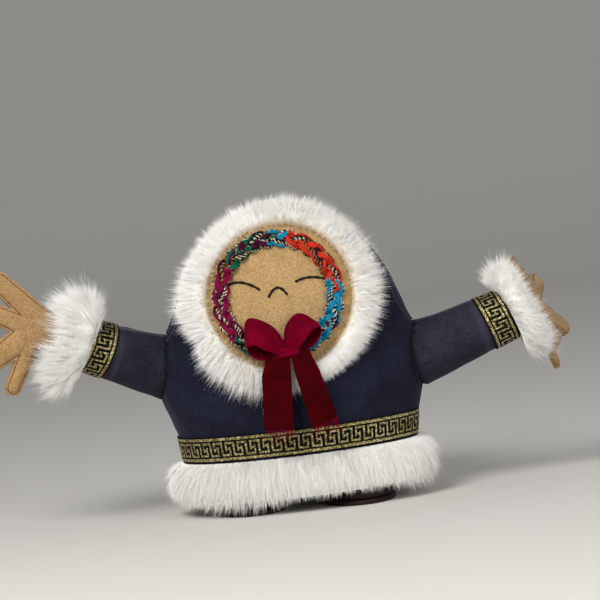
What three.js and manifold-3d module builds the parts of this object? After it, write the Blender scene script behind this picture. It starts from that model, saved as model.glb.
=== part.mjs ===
// A stuffed doll in a fur-trimmed parka, standing in boots, with jointed arms and a ribbon bow.
// Millimetres, +Z up. The face looks along -Y, and the doll's own right side is at -X.

import * as THREE from 'three';
import { mergeVertices } from 'three/addons/utils/BufferGeometryUtils.js';
import Module from 'manifold-3d';

const wasm = await Module();
wasm.setup();

// Fits
const clearance = 0.3; // between pieces that touch
const turnClearance = 0.6; // between pieces that turn on each other

// Parka: an egg that is fullest low down, with a flat base
const bodyWidth = 151;
const bodyDepth = 100;
const baseWidth = 138;
const baseDepth = 86;
const baseHeight = 18;
const fullestHeight = 75;
const hoodHeight = 181;
const sideCurve = { fall: 2.2, round: 2.3 }; // how the sides close towards the top
const frontCurve = { fall: 3.5, round: 3 };
const clothThickness = 1.5;
const basePanelThickness = 1.5;

// Face, on a plane of its own that leans back
const faceDrop = 50; // below the top of the hood
const faceOffset = -4;
const faceSink = 4; // behind the fullest part of the front
const faceTilt = 7; // degrees
const faceRoll = 2.5; // degrees
const faceRadius = 44;
const faceDome = 6.5;
const faceFelt = 1.8;
const faceStuffingDepth = 30;
const faceStuffingInset = 1;

// Stitched features
const threadRadius = 0.6;
const eyeInner = 10.5;
const eyeInnerRise = 5.2;
const eyeMiddleRise = 9;
const eyeOuterRise = 8.2;
const eyeBraidGap = 2;
const noseHalfWidth = 5.7;
const noseFoot = -1.2;
const noseTop = 4;

// Braid along the hood's edge
const braidInset = 9.8; // its middle, in from the rim of the face
const braidWidth = 11.4;
const braidThickness = 7;
const braidEndAngle = 12; // degrees, from the lowest point

// Fur
const hoodFurWidth = 18.5;
const hoodFurFront = 12; // in front of the face plane
const hoodFurBack = 16; // behind it
const hoodFurGap = 0.5; // to the rim of the face
const hemFurAbove = 18; // above the base
const hemFurBelow = 12; // below it
const hemFurProud = 11;
const hemFurInside = 5;
const cuffFurRadius = 35;
const cuffFurBore = 15;
const cuffFurLength = 14;

// Woven ribbon round the hem and the cuffs
const hemRibbonWidth = 16;
const cuffRibbonWidth = 16;
const ribbonThickness = 0.8;

// Bow
const knotWidth = 11;
const knotHeight = 10;
const knotDepth = 13.5;
const bowRibbonWidth = 18;
const bowRibbonThickness = 1.2;
const loopLength = 30;
const loopDepth = 10;
const loopAngles = { right: 136, left: 43 }; // degrees, from the face's own +X
const loopHollowStart = 8; // along the loop, where its two layers part
const tailKnotGap = 0.8;
const tailMeeting = 1.5; // where the tails meet, beside the middle of the knot
const tailGap = 1;
const tailFlare = 14; // down the tail, where it has its full width
const rightTail = 40; // length
const rightTailTop = 12; // width under the knot
const rightTailLean = 1.7; // sideways, down the whole tail
const rightTailSlant = 2; // of its cut end
const leftTail = 40;
const leftTailTop = 8;
const leftTailLean = 6.5;
const leftTailSlant = 6;

// Boots
const bootWidth = 44;
const bootLength = 64;
const bootSpread = 0.437; // between the boots' middles, as a share of the parka's width
const bootSetBack = -10; // middle of a boot, from the middle of the doll
const bootRound = 5;
const soleThickness = 3;

// Arms: a sleeve with a round head that sits in a hollow of the body
const sleeveHeadRadius = 19.5;
const sleeveHeadOpening = 8; // radius of the hole in the head, inside the armhole
const sleeveNeck = 6; // along the arm, where the head ends
const sleeveCuffRadius = 15.2;
const shoulderOutset = 8; // pivot, outside the parka
const cuffTurn = 6; // sleeve past the ribbon, under the fur
const armStuffingStart = 8;
const rightShoulder = 97.4; // height
const leftShoulder = 89.5;
const rightSleeve = 32; // from the pivot to the ribbon
const leftSleeve = 37.5;
const rightRest = { swing: 20, raise: 19, flex: 0, droop: -19 }; // degrees
const leftRest = { swing: -3, raise: 15, flex: -72, droop: -12 };

// Hands: two felt layers, lightly stuffed
const wristReach = 14; // wrist bend, past the cuff ribbon
const wristWidth = 23;
const wristThickness = 5;
const wristTabDepth = 10; // sewn into the end of the sleeve
const wristRelief = 3.4; // felt left out round the bend
const handFelt = 1.4;
const handStuffingInset = 2.5;
const palmRadius = 17;
const palmReach = 19; // middle of the palm, past the wrist bend
// Angles are degrees upwards from the hand's axis, and reach and shift start at the middle of the palm
const digits = [
  { angle: 48, reach: 42, width: 14, shift: 9 },
  { angle: 29, reach: 39, width: 12.5, shift: 1.5 },
  { angle: -28, reach: 38, width: 13.5, shift: 1 },
  { angle: -61, reach: 36, width: 10.5, shift: -2 },
];

// Facets
const bodySegments = 32;
const lowerRings = 3;
const upperRings = 7;
const furSegments = 9;
const ringSegments = 32;
const armSegments = 20;
const headRings = 6;
const domeRings = 4;
const braidSegments = 5;
const braidSteps = 30;
const threadSegments = 3;
const threadSteps = 8;
const loopSegments = 6;
const bootSegments = 9;
const bootBevelSegments = 2;
const handSegments = 4;
const weldDistance = 1e-4;

// Colours and finishes
const cloth = (color, roughness) => new THREE.MeshStandardMaterial({ color, roughness, metalness: 0 });
const navyVelveteen = cloth(0x26283a, 0.9);
const whiteFur = cloth(0xf2efe8, 0.95);
const tanFelt = cloth(0xbe9b69, 0.95);
const keyRibbon = new THREE.MeshStandardMaterial({ color: 0x8a7640, roughness: 0.5, metalness: 0.3 });
const redVelvet = cloth(0x6e0a1e, 0.75);
const braidYarn = cloth(0x8c2a55, 0.8);
const blackThread = cloth(0x141418, 0.7);
const brownLeather = cloth(0x2a1712, 0.55);
const whiteStuffing = cloth(0xefefea, 1);

const arms = [
  { name: 'right', side: -1, height: rightShoulder, sleeve: rightSleeve, ...rightRest },
  { name: 'left', side: 1, height: leftShoulder, sleeve: leftSleeve, ...leftRest },
];

const radians = THREE.MathUtils.degToRad;
const deepCut = 2 * Math.max(bodyWidth, bodyDepth, hoodHeight);

// Solids: closed, with merged corners and faces pointing out
function solidOf(geometry) {
  const bare = geometry.clone();
  bare.deleteAttribute('normal');
  bare.deleteAttribute('uv');
  const merged = mergeVertices(bare, weldDistance);
  const vertProperties = merged.attributes.position.array;
  const corner = (i) => new THREE.Vector3().fromArray(vertProperties, 3 * i);
  let triangles = [];
  let volume = 0;
  for (let i = 0; i < merged.index.count; i += 3) {
    const [a, b, c] = [0, 1, 2].map((k) => merged.index.getX(i + k));
    if (a === b || b === c || c === a) continue;
    triangles.push([a, b, c]);
    volume += corner(a).dot(corner(b).cross(corner(c)));
  }
  if (volume < 0) triangles = triangles.map(([a, b, c]) => [a, c, b]);
  const triVerts = new Uint32Array(triangles.flat());
  return new wasm.Manifold(new wasm.Mesh({ numProp: 3, vertProperties, triVerts }));
}

function geometryOf(solid) {
  const { vertProperties, triVerts } = solid.getMesh();
  const geometry = new THREE.BufferGeometry();
  geometry.setAttribute('position', new THREE.BufferAttribute(new Float32Array(vertProperties), 3));
  geometry.setIndex(new THREE.BufferAttribute(new Uint32Array(triVerts), 1));
  geometry.computeVertexNormals();
  return geometry;
}

const joined = (...geometries) => geometries.map(solidOf).reduce((sum, next) => sum.add(next));

function addPiece(parent, name, solid, material) {
  const mesh = new THREE.Mesh(geometryOf(solid), material);
  mesh.name = name;
  parent.add(mesh);
  return mesh;
}

// A block that reaches far along every axis, starting at one height, depth or side
function halfSpace(axis, from, towards) {
  const block = new THREE.BoxGeometry(deepCut, deepCut, deepCut);
  const middle = new THREE.Vector3().setComponent(axis, from + towards * deepCut / 2);
  return solidOf(block.translate(middle.x, middle.y, middle.z));
}

// Body shape
function share(height, { fall, round }, baseSize, fullSize) {
  if (height < fullestHeight) {
    const down = Math.min(1, (fullestHeight - height) / (fullestHeight - baseHeight));
    return 1 - (1 - baseSize / fullSize) * down ** 2;
  }
  const up = Math.min(1, (height - fullestHeight) / (hoodHeight - fullestHeight));
  return (1 - up ** fall) ** (1 / round);
}
const halfWidth = (z) => bodyWidth / 2 * share(z, sideCurve, baseWidth, bodyWidth);
const halfFront = (z) => bodyDepth / 2 * share(z, frontCurve, baseDepth, bodyDepth);
const halfBack = (z) => bodyDepth / 2 * share(z, sideCurve, baseDepth, bodyDepth);

// A skin round the body: each profile point is a height, and a distance outside the parka
function bodySkin(profile) {
  const outline = profile.map(({ z, out, axis }) => new THREE.Vector2(axis ? 0 : halfWidth(z) + out, z));
  const skin = new THREE.LatheGeometry(outline, bodySegments);
  const position = skin.attributes.position;
  for (let i = 0; i < position.count; i++) {
    const { z, out = 0, axis, lift = 0 } = profile[i % profile.length];
    const angle = Math.floor(i / profile.length) / bodySegments * 2 * Math.PI;
    const depth = Math.cos(angle) > 0 ? halfFront(z) : halfBack(z);
    const size = axis ? 0 : 1;
    position.setXYZ(
      i,
      size * (halfWidth(z) + out) * Math.sin(angle),
      -size * (depth + out) * Math.cos(angle),
      z + lift,
    );
  }
  return skin;
}

// The whole egg, grown or shrunk, down to a flat floor
function egg(grow, floor) {
  const profile = [{ z: floor, axis: true }];
  if (floor < baseHeight) profile.push({ z: floor, out: grow });
  for (let i = 0; i < lowerRings; i++) {
    const z = baseHeight + (fullestHeight - baseHeight) * i / lowerRings;
    profile.push({ z, out: grow });
  }
  for (let i = 0; i < upperRings; i++) {
    const up = Math.sin(Math.PI / 2 * i / upperRings);
    profile.push({ z: fullestHeight + (hoodHeight - fullestHeight) * up, out: grow, lift: grow * up });
  }
  profile.push({ z: hoodHeight, axis: true, lift: grow });
  return solidOf(bodySkin(profile));
}

// A ring of fur with an oval section: along is down the axis, out is away from it
function ovalSection(out, along, halfOut, halfAlong) {
  const oval = new THREE.EllipseCurve(out, along, halfOut, halfAlong);
  return oval.getPoints(furSegments).map((p) => ({ out: p.x, along: p.y }));
}

// Face frame: +Z looks out of the face, +Y is up it
const faceHeight = hoodHeight - faceDrop;
const faceFrame = new THREE.Group();
faceFrame.position.set(faceOffset, faceSink - halfFront(faceHeight), faceHeight);
faceFrame.rotation.set(Math.PI / 2 - radians(faceTilt), 0, radians(faceRoll));
faceFrame.updateMatrixWorld(true);

const domeHeight = (radius) => faceDome * (1 - (radius / faceRadius) ** 2);

function faceLathe(points) {
  const outline = points.map(([radius, height]) => new THREE.Vector2(radius, height));
  return new THREE.LatheGeometry(outline, ringSegments).rotateX(Math.PI / 2);
}

function domePoints(radius, drop) {
  const points = [];
  for (let i = domeRings; i >= 0; i--) {
    const r = radius * i / domeRings;
    points.push([r, domeHeight(r) - drop]);
  }
  return points;
}

const inDoll = (geometry, frame) => geometry.clone().applyMatrix4(frame.matrixWorld);
const inFrame = (solid, frame) => solidOf(geometryOf(solid).applyMatrix4(frame.matrixWorld.clone().invert()));

// Shoulders
for (const arm of arms) {
  const { side, height } = arm;
  arm.pivot = new THREE.Vector3(side * (halfWidth(height) + shoulderOutset), 0, height);
  const swing = radians(arm.swing);
  const raise = radians(arm.raise);
  const level = new THREE.Vector3(side * Math.cos(swing), -Math.sin(swing), 0);
  const front = new THREE.Vector3(-side * Math.sin(swing), -Math.cos(swing), 0);
  const along = level.multiplyScalar(Math.cos(raise)).setZ(Math.sin(raise));
  const across = along.clone().cross(front);
  arm.frame = new THREE.Group();
  arm.frame.name = `${arm.name}_arm`;
  arm.frame.position.copy(arm.pivot);
  arm.frame.setRotationFromMatrix(new THREE.Matrix4().makeBasis(across, along, front));
}

function ball(radius, centre = new THREE.Vector3()) {
  const sphere = new THREE.SphereGeometry(radius, armSegments, armSegments / 2);
  return solidOf(sphere.translate(centre.x, centre.y, centre.z));
}

const withoutShoulders = (solid) => arms.reduce(
  (left, arm) => left.subtract(ball(sleeveHeadRadius + turnClearance, arm.pivot)),
  solid,
);

const doll = new THREE.Group();
doll.add(faceFrame);

// Parka, its stuffing and its base
const insideParka = egg(-clothThickness, baseHeight - basePanelThickness);
const parka = egg(0, baseHeight).subtract(insideParka);
const faceOpening = new THREE.CylinderGeometry(
  faceRadius + clearance, faceRadius + clearance, 2 * faceStuffingDepth, ringSegments,
).rotateX(Math.PI / 2);
const faceRoom = solidOf(inDoll(faceOpening, faceFrame));
const seamGap = clearance / 2;
const parkaFront = parka.intersect(halfSpace(1, -seamGap, -1)).subtract(faceRoom);
addPiece(doll, 'parka_front', withoutShoulders(parkaFront), navyVelveteen);
addPiece(doll, 'parka_back', withoutShoulders(parka.intersect(halfSpace(1, seamGap, 1))), navyVelveteen);

const filling = egg(-clothThickness - clearance, baseHeight);
const baseTop = baseHeight + basePanelThickness;
addPiece(doll, 'base_panel', filling.intersect(halfSpace(2, baseTop, -1)), navyVelveteen);

const stuffingRadius = faceRadius - faceStuffingInset;
const faceStuffing = faceLathe([
  [0, -faceStuffingDepth],
  [stuffingRadius, -faceStuffingDepth],
  ...domePoints(stuffingRadius, faceFelt + clearance),
]);
const bodyStuffing = filling
  .intersect(halfSpace(2, baseTop + clearance, 1))
  .subtract(faceRoom)
  .add(solidOf(inDoll(faceStuffing, faceFrame)));
addPiece(doll, 'body_stuffing', withoutShoulders(bodyStuffing), whiteStuffing);

// Face and its stitched features
const face = faceLathe([...domePoints(faceRadius, faceFelt).reverse(), ...domePoints(faceRadius, 0)]);
addPiece(faceFrame, 'face', solidOf(face), tanFelt);

function stitch(name, points) {
  const onFace = points.map(([x, y]) => {
    const height = domeHeight(Math.hypot(x, y)) + threadRadius + clearance;
    return new THREE.Vector3(x, y, height);
  });
  const thread = new THREE.ExtrudeGeometry(new THREE.Shape().absarc(0, 0, threadRadius, 0, 2 * Math.PI), {
    curveSegments: threadSegments,
    steps: threadSteps,
    extrudePath: new THREE.CatmullRomCurve3(onFace),
  });
  addPiece(faceFrame, name, solidOf(thread), blackThread);
}

const braidRadius = faceRadius - braidInset;
const eyeOuter = braidRadius - braidWidth / 2 - eyeBraidGap;
for (const { name, side } of arms) {
  stitch(`${name}_eye_stitch`, [
    [side * eyeInner, eyeInnerRise],
    [side * (eyeInner + eyeOuter) / 2, eyeMiddleRise],
    [side * Math.sqrt(eyeOuter ** 2 - eyeOuterRise ** 2), eyeOuterRise],
  ]);
}
stitch('nose_stitch', [[-noseHalfWidth, noseFoot], [0, noseTop], [noseHalfWidth, noseFoot]]);

// Braid
const braidTop = domeHeight(braidRadius) + clearance + braidThickness;
const braidMiddle = braidTop - braidThickness / 2;
const braidPath = [];
for (let i = 0; i <= braidSteps; i++) {
  const turn = radians(braidEndAngle) + (2 * Math.PI - 2 * radians(braidEndAngle)) * i / braidSteps;
  const [x, y] = [-braidRadius * Math.sin(turn), -braidRadius * Math.cos(turn)];
  braidPath.push(new THREE.Vector3(x, y, braidMiddle));
}
const braidSection = new THREE.Shape().absellipse(0, 0, braidThickness / 2, braidWidth / 2, 0, 2 * Math.PI);
const braid = new THREE.ExtrudeGeometry(braidSection, {
  curveSegments: braidSegments,
  steps: braidSteps,
  extrudePath: new THREE.CatmullRomCurve3(braidPath),
});
addPiece(faceFrame, 'face_braid', solidOf(braid), braidYarn);

// Hood fur, cut to lie on the parka
const hoodFurInner = faceRadius + hoodFurGap;
const hoodFurMiddle = hoodFurInner + hoodFurWidth / 2;
const hoodFurSection = ovalSection(
  hoodFurMiddle, (hoodFurFront - hoodFurBack) / 2, hoodFurWidth / 2, (hoodFurFront + hoodFurBack) / 2,
);
const hoodFur = solidOf(faceLathe(hoodFurSection.map(({ out, along }) => [out, along])));
const parkaRoom = inFrame(egg(clearance, baseHeight), faceFrame);
addPiece(faceFrame, 'hood_fur', hoodFur.subtract(parkaRoom), whiteFur);

// Boots
function boot(x, bottom, top, grow) {
  const outline = new THREE.Shape().absellipse(
    0, 0, bootWidth / 2 - bootRound + grow, bootLength / 2 - bootRound + grow, 0, 2 * Math.PI,
  );
  const upper = new THREE.ExtrudeGeometry(outline, {
    curveSegments: bootSegments,
    depth: top - bottom - 2 * bootRound,
    bevelThickness: bootRound,
    bevelSize: bootRound,
    bevelSegments: bootBevelSegments,
  });
  return solidOf(upper.translate(x, bootSetBack, bottom + bootRound));
}

let hemFurRoom = egg(clearance, baseHeight);
for (const { name, side } of arms) {
  const x = side * bootSpread * bodyWidth / 2;
  const sole = new THREE.ExtrudeGeometry(
    new THREE.Shape().absellipse(0, 0, bootWidth / 2, bootLength / 2, 0, 2 * Math.PI),
    { curveSegments: bootSegments, depth: soleThickness, bevelEnabled: false },
  );
  addPiece(doll, `${name}_boot_sole`, solidOf(sole.translate(x, bootSetBack, 0)), brownLeather);
  const bootTop = baseHeight - clearance;
  addPiece(doll, `${name}_boot`, boot(x, soleThickness + clearance, bootTop, 0), brownLeather);
  hemFurRoom = hemFurRoom.add(boot(x, 0, bootTop + clearance, clearance));
}

// Hem fur and the ribbon above it
const hemFurSection = ovalSection(
  (hemFurProud - hemFurInside) / 2,
  baseHeight + (hemFurAbove - hemFurBelow) / 2,
  (hemFurProud + hemFurInside) / 2,
  (hemFurAbove + hemFurBelow) / 2,
);
const hemFur = bodySkin(hemFurSection.map(({ out, along }) => ({ out, z: along })));
addPiece(doll, 'hem_fur', solidOf(hemFur).subtract(hemFurRoom), whiteFur);

const hemRibbonBase = baseHeight + hemFurAbove + clearance;
const hemRibbonTop = hemRibbonBase + hemRibbonWidth;
const hemRibbon = bodySkin([
  { z: hemRibbonBase, out: clearance },
  { z: hemRibbonBase, out: clearance + ribbonThickness },
  { z: hemRibbonTop, out: clearance + ribbonThickness },
  { z: hemRibbonTop, out: clearance },
  { z: hemRibbonBase, out: clearance },
]);
addPiece(doll, 'hem_ribbon', solidOf(hemRibbon), keyRibbon);

// Bow: a knot on the lower edge of the face, a loop to each side and two hanging tails
const knotBase = domeHeight(braidRadius) + clearance;
const knotCentre = new THREE.Vector3(0, -braidRadius, knotBase + knotDepth / 2);
function knot(grow) {
  const sphere = new THREE.SphereGeometry(1, armSegments, armSegments / 2);
  sphere.scale(knotWidth / 2 + grow, knotHeight / 2 + grow, knotDepth / 2 + grow);
  return solidOf(sphere.translate(knotCentre.x, knotCentre.y, knotCentre.z));
}
addPiece(faceFrame, 'bow_knot', knot(0), redVelvet);

// One leaf-shaped side of a loop, from start to length, swelling to half its depth
function leaf(path, start, length, half) {
  path.moveTo(start, 0);
  path.bezierCurveTo(start + (length - start) / 3, -half, length, -2 * half, length, 0);
  path.bezierCurveTo(length, 2 * half, start + (length - start) / 3, half, start, 0);
  return path;
}

const loopBase = braidTop + clearance;
for (const { name, side } of arms) {
  const outline = leaf(new THREE.Shape(), 0, loopLength, loopDepth / 2);
  const hollow = leaf(
    new THREE.Path(), loopHollowStart, loopLength - bowRibbonThickness, loopDepth / 2 - bowRibbonThickness,
  );
  outline.holes.push(hollow);
  const loop = new THREE.ExtrudeGeometry(outline, {
    curveSegments: loopSegments,
    depth: bowRibbonWidth,
    bevelEnabled: false,
  }).rotateX(Math.PI / 2);
  loop.computeBoundingBox();
  loop.translate(0, bowRibbonWidth / 2, -loop.boundingBox.min.z);
  loop.rotateZ(radians(loopAngles[name]));
  loop.translate(knotCentre.x, knotCentre.y, loopBase);
  const clearOfMiddle = halfSpace(0, side * seamGap, side);
  const seated = solidOf(loop).intersect(clearOfMiddle).subtract(knot(clearance));
  addPiece(faceFrame, `bow_${name}_loop`, seated, redVelvet);
}

// The tails hang straight down, against the front of the hood fur
const hoodFurCrest = Math.min(...hoodFurSection.map(({ out, along }) => {
  const lowest = new THREE.Vector3(0, -out, along).applyMatrix4(faceFrame.matrixWorld);
  return lowest.y;
}));
const tailBack = hoodFurCrest - clearance;
const knotFoot = new THREE.Vector3(knotCentre.x, knotCentre.y - knotHeight / 2, knotCentre.z)
  .applyMatrix4(faceFrame.matrixWorld);
function addTail(name, side, length, topWidth, lean, slant) {
  const inner = (down) => tailMeeting + side * (tailGap / 2 + lean * down / length);
  const outer = (down, width) => inner(down) + side * width;
  const outline = new THREE.Shape();
  outline.moveTo(inner(0), 0);
  outline.lineTo(inner(length), -length - slant / 2 * side);
  outline.lineTo(outer(length, bowRibbonWidth), -length + slant / 2 * side);
  outline.lineTo(outer(tailFlare, bowRibbonWidth), -tailFlare);
  outline.lineTo(outer(0, topWidth), 0);
  const ribbon = new THREE.ExtrudeGeometry(outline, { depth: bowRibbonThickness, bevelEnabled: false });
  const hung = ribbon.rotateX(Math.PI / 2).translate(0, bowRibbonThickness / 2, 0);
  const hinge = new THREE.Group();
  hinge.name = `${name}_hinge`;
  hinge.position.set(knotFoot.x, tailBack - bowRibbonThickness / 2, knotFoot.z - tailKnotGap);
  addPiece(hinge, name, solidOf(hung), redVelvet);
  doll.add(hinge);
}
addTail('bow_right_tail', -1, rightTail, rightTailTop, rightTailLean, rightTailSlant);
addTail('bow_left_tail', 1, leftTail, leftTailTop, leftTailLean, leftTailSlant);

// Arms
function sleeveRadius(along, end) {
  const neckRadius = Math.sqrt(sleeveHeadRadius ** 2 - sleeveNeck ** 2);
  return neckRadius + (sleeveCuffRadius - neckRadius) * (along - sleeveNeck) / (end - sleeveNeck);
}

// The round head of a sleeve, from its opening to its neck, with its radius reduced
function headPoints(shrink) {
  const radius = sleeveHeadRadius - shrink;
  const first = Math.PI - Math.asin(sleeveHeadOpening / radius);
  const last = Math.acos(sleeveNeck / sleeveHeadRadius);
  const points = [];
  for (let i = 0; i <= headRings; i++) {
    const angle = first + (last - first) * i / headRings;
    points.push(new THREE.Vector2(radius * Math.sin(angle), radius * Math.cos(angle)));
  }
  return points;
}

const armLathe = (points) => solidOf(new THREE.LatheGeometry(points, armSegments));

function band(from, to, end, inner, outer) {
  const point = (along, out) => new THREE.Vector2(sleeveRadius(along, end) + out, along);
  const corners = [point(from, inner), point(from, outer), point(to, outer), point(to, inner)];
  return armLathe([...corners, corners[0]]);
}

function column(radius, from, to) {
  const rod = new THREE.CylinderGeometry(radius, radius, to - from, armSegments);
  return rod.translate(0, (from + to) / 2, 0);
}

// A rod along the wrist's bend
const wristRod = (radius, length) => solidOf(
  new THREE.CylinderGeometry(radius, radius, length, armSegments).rotateZ(Math.PI / 2),
);

function flat(outline, back, front) {
  const sheet = new THREE.ExtrudeGeometry(outline, {
    curveSegments: handSegments,
    depth: front - back,
    bevelEnabled: false,
  });
  return sheet.translate(0, 0, back);
}

// One layer of a hand, shrunk from the outline of the felt
function handLayer({ side, droop }, shrink, back, front) {
  const up = -side;
  const towards = (degrees) => new THREE.Vector2(up * Math.sin(radians(degrees)), Math.cos(radians(degrees)));
  const palm = new THREE.Vector2(0, palmReach);
  const across = new THREE.Vector2(palmRadius - shrink, 0);
  const wrist = new THREE.Shape([
    new THREE.Vector2(wristWidth / 2 - shrink, 0),
    palm.clone().add(across),
    palm.clone().sub(across),
    new THREE.Vector2(shrink - wristWidth / 2, 0),
  ]);
  const pieces = [
    flat(wrist, back, front),
    flat(new THREE.Shape().absarc(palm.x, palm.y, palmRadius - shrink, 0, 2 * Math.PI), back, front),
  ];
  for (const { angle, reach, width, shift } of digits) {
    const half = width / 2 - shrink;
    const digit = new THREE.Shape();
    const tip = reach - width / 2;
    digit.moveTo(half, 0);
    digit.lineTo(half, tip);
    digit.absarc(0, tip, half, 0, Math.PI);
    digit.lineTo(-half, 0);
    const turned = flat(digit, back, front).translate(up * shift, 0, 0).rotateZ(-up * radians(angle + droop));
    pieces.push(turned.translate(palm.x, palm.y, 0));
  }
  return joined(...pieces);
}

for (const arm of arms) {
  const { name, frame, sleeve, flex } = arm;
  doll.add(frame);
  const ribbonEnd = sleeve + cuffRibbonWidth;
  const end = ribbonEnd + cuffTurn;
  const radius = (along) => sleeveRadius(along, end);

  const wadRadius = sleeveHeadRadius - clothThickness - turnClearance;
  addPiece(frame, `${name}_shoulder_wad`, ball(wadRadius), whiteStuffing);

  const outside = [...headPoints(0), new THREE.Vector2(radius(end), end)];
  const inside = [...headPoints(clothThickness), new THREE.Vector2(radius(end) - clothThickness, end)];
  addPiece(frame, `${name}_sleeve`, armLathe([...outside, ...inside.reverse(), outside[0]]), navyVelveteen);

  const tabStart = end - wristTabDepth;
  const bend = ribbonEnd + wristReach;
  const tabLength = bend - tabStart;
  const tab = new THREE.BoxGeometry(wristWidth, tabLength, wristThickness);
  tab.translate(0, bend - tabLength / 2, 0);
  const slot = new THREE.BoxGeometry(
    wristWidth + 2 * clearance, tabLength + clearance, wristThickness + 2 * clearance,
  ).translate(0, bend - (tabLength + clearance) / 2, 0);

  const lining = clothThickness + clearance;
  const armStuffing = armLathe([
    new THREE.Vector2(0, armStuffingStart),
    new THREE.Vector2(radius(armStuffingStart) - lining, armStuffingStart),
    new THREE.Vector2(radius(end) - lining, end),
    new THREE.Vector2(0, end),
  ]);
  const hollowed = armStuffing.subtract(ball(wadRadius + turnClearance)).subtract(solidOf(slot));
  addPiece(frame, `${name}_arm_stuffing`, hollowed, whiteStuffing);

  const cuffRibbon = band(sleeve, ribbonEnd, end, clearance, clearance + ribbonThickness);
  addPiece(frame, `${name}_cuff_ribbon`, cuffRibbon, keyRibbon);

  const furStart = ribbonEnd + clearance;
  const furSection = ovalSection(
    (cuffFurRadius + cuffFurBore) / 2, furStart + cuffFurLength / 2,
    (cuffFurRadius - cuffFurBore) / 2, cuffFurLength / 2,
  );
  const cuffFur = armLathe(furSection.map(({ out, along }) => new THREE.Vector2(out, along)));
  const sleeveRoom = solidOf(column(sleeveCuffRadius + clearance, 0, end + clearance));
  addPiece(frame, `${name}_cuff_fur`, cuffFur.subtract(sleeveRoom), whiteFur);

  const bendFrame = new THREE.Group();
  bendFrame.name = `${name}_wrist`;
  bendFrame.position.set(0, bend, 0);
  bendFrame.rotation.x = radians(flex);
  frame.add(bendFrame);

  const rollRadius = wristThickness / 2;
  const rollRoom = wristRod(rollRadius + clearance, 2 * wristWidth).translate(0, bend, 0);
  addPiece(frame, `${name}_wrist_tab`, solidOf(tab).subtract(rollRoom), tanFelt);

  const relief = wristRod(wristRelief, 2 * palmRadius);
  const feltBack = rollRadius - handFelt;
  const feltLayer = (back, front) => handLayer(arm, 0, back, front).subtract(relief);
  addPiece(bendFrame, `${name}_hand_front`, feltLayer(feltBack, rollRadius), tanFelt);
  addPiece(bendFrame, `${name}_hand_back`, feltLayer(-rollRadius, -feltBack), tanFelt);
  const padHalf = feltBack - clearance;
  const pad = handLayer(arm, handStuffingInset, -padHalf, padHalf);
  const roll = wristRod(rollRadius, wristWidth - 2 * clearance);
  addPiece(bendFrame, `${name}_hand_stuffing`, pad.add(roll), whiteStuffing);
}

// The origin is on the ground, below the middle of the doll's reach
const reach = new THREE.Box3().setFromObject(doll, true);
const middle = reach.getCenter(new THREE.Vector3());
doll.position.set(-middle.x, -middle.y, -reach.min.z);
doll.updateMatrixWorld(true);

export default doll;
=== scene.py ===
from math import acos, atan2, cos, exp, hypot, pi, radians, sin

import bmesh
import bpy
import numpy as np
from mathutils import Matrix, Quaternion, Vector, noise
from mathutils.kdtree import KDTree


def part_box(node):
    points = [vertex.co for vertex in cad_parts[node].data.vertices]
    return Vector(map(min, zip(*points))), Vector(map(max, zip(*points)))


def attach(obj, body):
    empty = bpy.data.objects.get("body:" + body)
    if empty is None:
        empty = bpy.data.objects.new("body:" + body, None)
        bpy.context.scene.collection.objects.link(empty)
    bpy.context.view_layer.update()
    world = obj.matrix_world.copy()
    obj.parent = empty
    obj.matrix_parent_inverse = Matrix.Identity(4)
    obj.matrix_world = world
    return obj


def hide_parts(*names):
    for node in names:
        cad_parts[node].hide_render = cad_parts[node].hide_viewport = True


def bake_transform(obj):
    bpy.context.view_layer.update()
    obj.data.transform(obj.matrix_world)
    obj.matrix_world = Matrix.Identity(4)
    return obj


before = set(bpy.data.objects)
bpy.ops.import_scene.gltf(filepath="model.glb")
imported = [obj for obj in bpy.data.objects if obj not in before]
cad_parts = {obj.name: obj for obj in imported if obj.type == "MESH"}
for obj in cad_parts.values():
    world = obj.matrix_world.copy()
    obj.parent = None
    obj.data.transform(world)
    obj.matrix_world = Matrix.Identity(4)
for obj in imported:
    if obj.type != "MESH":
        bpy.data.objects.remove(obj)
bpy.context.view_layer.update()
scene = bpy.context.scene
scene.view_settings.view_transform = "Standard"
fullTurn = 2 * pi
millimetre = 0.001

# The shapes that the pieces share with the solids, in millimetres and degrees
doll = {
    "width": 151, "depth": 100, "baseWidth": 138, "baseDepth": 86,
    "baseHeight": 18, "fullest": 75, "top": 181,
    "sideFall": 2.2, "sideRound": 2.3, "frontFall": 3.5, "frontRound": 3,
    "faceAt": (-4, -44.15, 131), "faceTilt": 7, "faceRoll": 2.5, "faceRadius": 44, "faceDome": 6.5,
}
arms = {
    "right": {"side": -1, "height": 97.4, "swing": 20, "raise": 19, "ribbonAt": 32, "flex": 0, "droop": -19,
              "reach": (0, 0, 0, 5), "cup": (0, 0), "twist": 0, "gather": 0.35, "seamForward": 0.45},
    "left": {"side": 1, "height": 89.5, "swing": -3, "raise": 15, "ribbonAt": 37.5, "flex": -72, "droop": -17,
             "reach": (-7, -2, 2, 11), "cup": (9, 12), "twist": 9, "gather": 1.0, "seamForward": 0.15},
}
armSize = {
    "outset": 8, "shoulder": 21.1, "seamAt": -8, "seamRadius": 19.5, "underRadius": 23, "overRadius": 17.4,
    "cuffRadius": 15.2, "hollowing": 10, "hollow": 20.8, "hollowDrop": 2.6, "ribbon": 16, "ribbonProud": 0.9,
    "turn": 6, "wrist": 14, "skew": 0.12,
}


def eased(value):
    value = min(1, max(0, value))
    return value * value * (3 - 2 * value)


def fade(value, start, span):  # from 0 at start to 1 after the span, which is negative to fade downwards
    return eased((value - start) / span)


def bell(value, width):
    return exp(-(value / width) ** 2)


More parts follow.
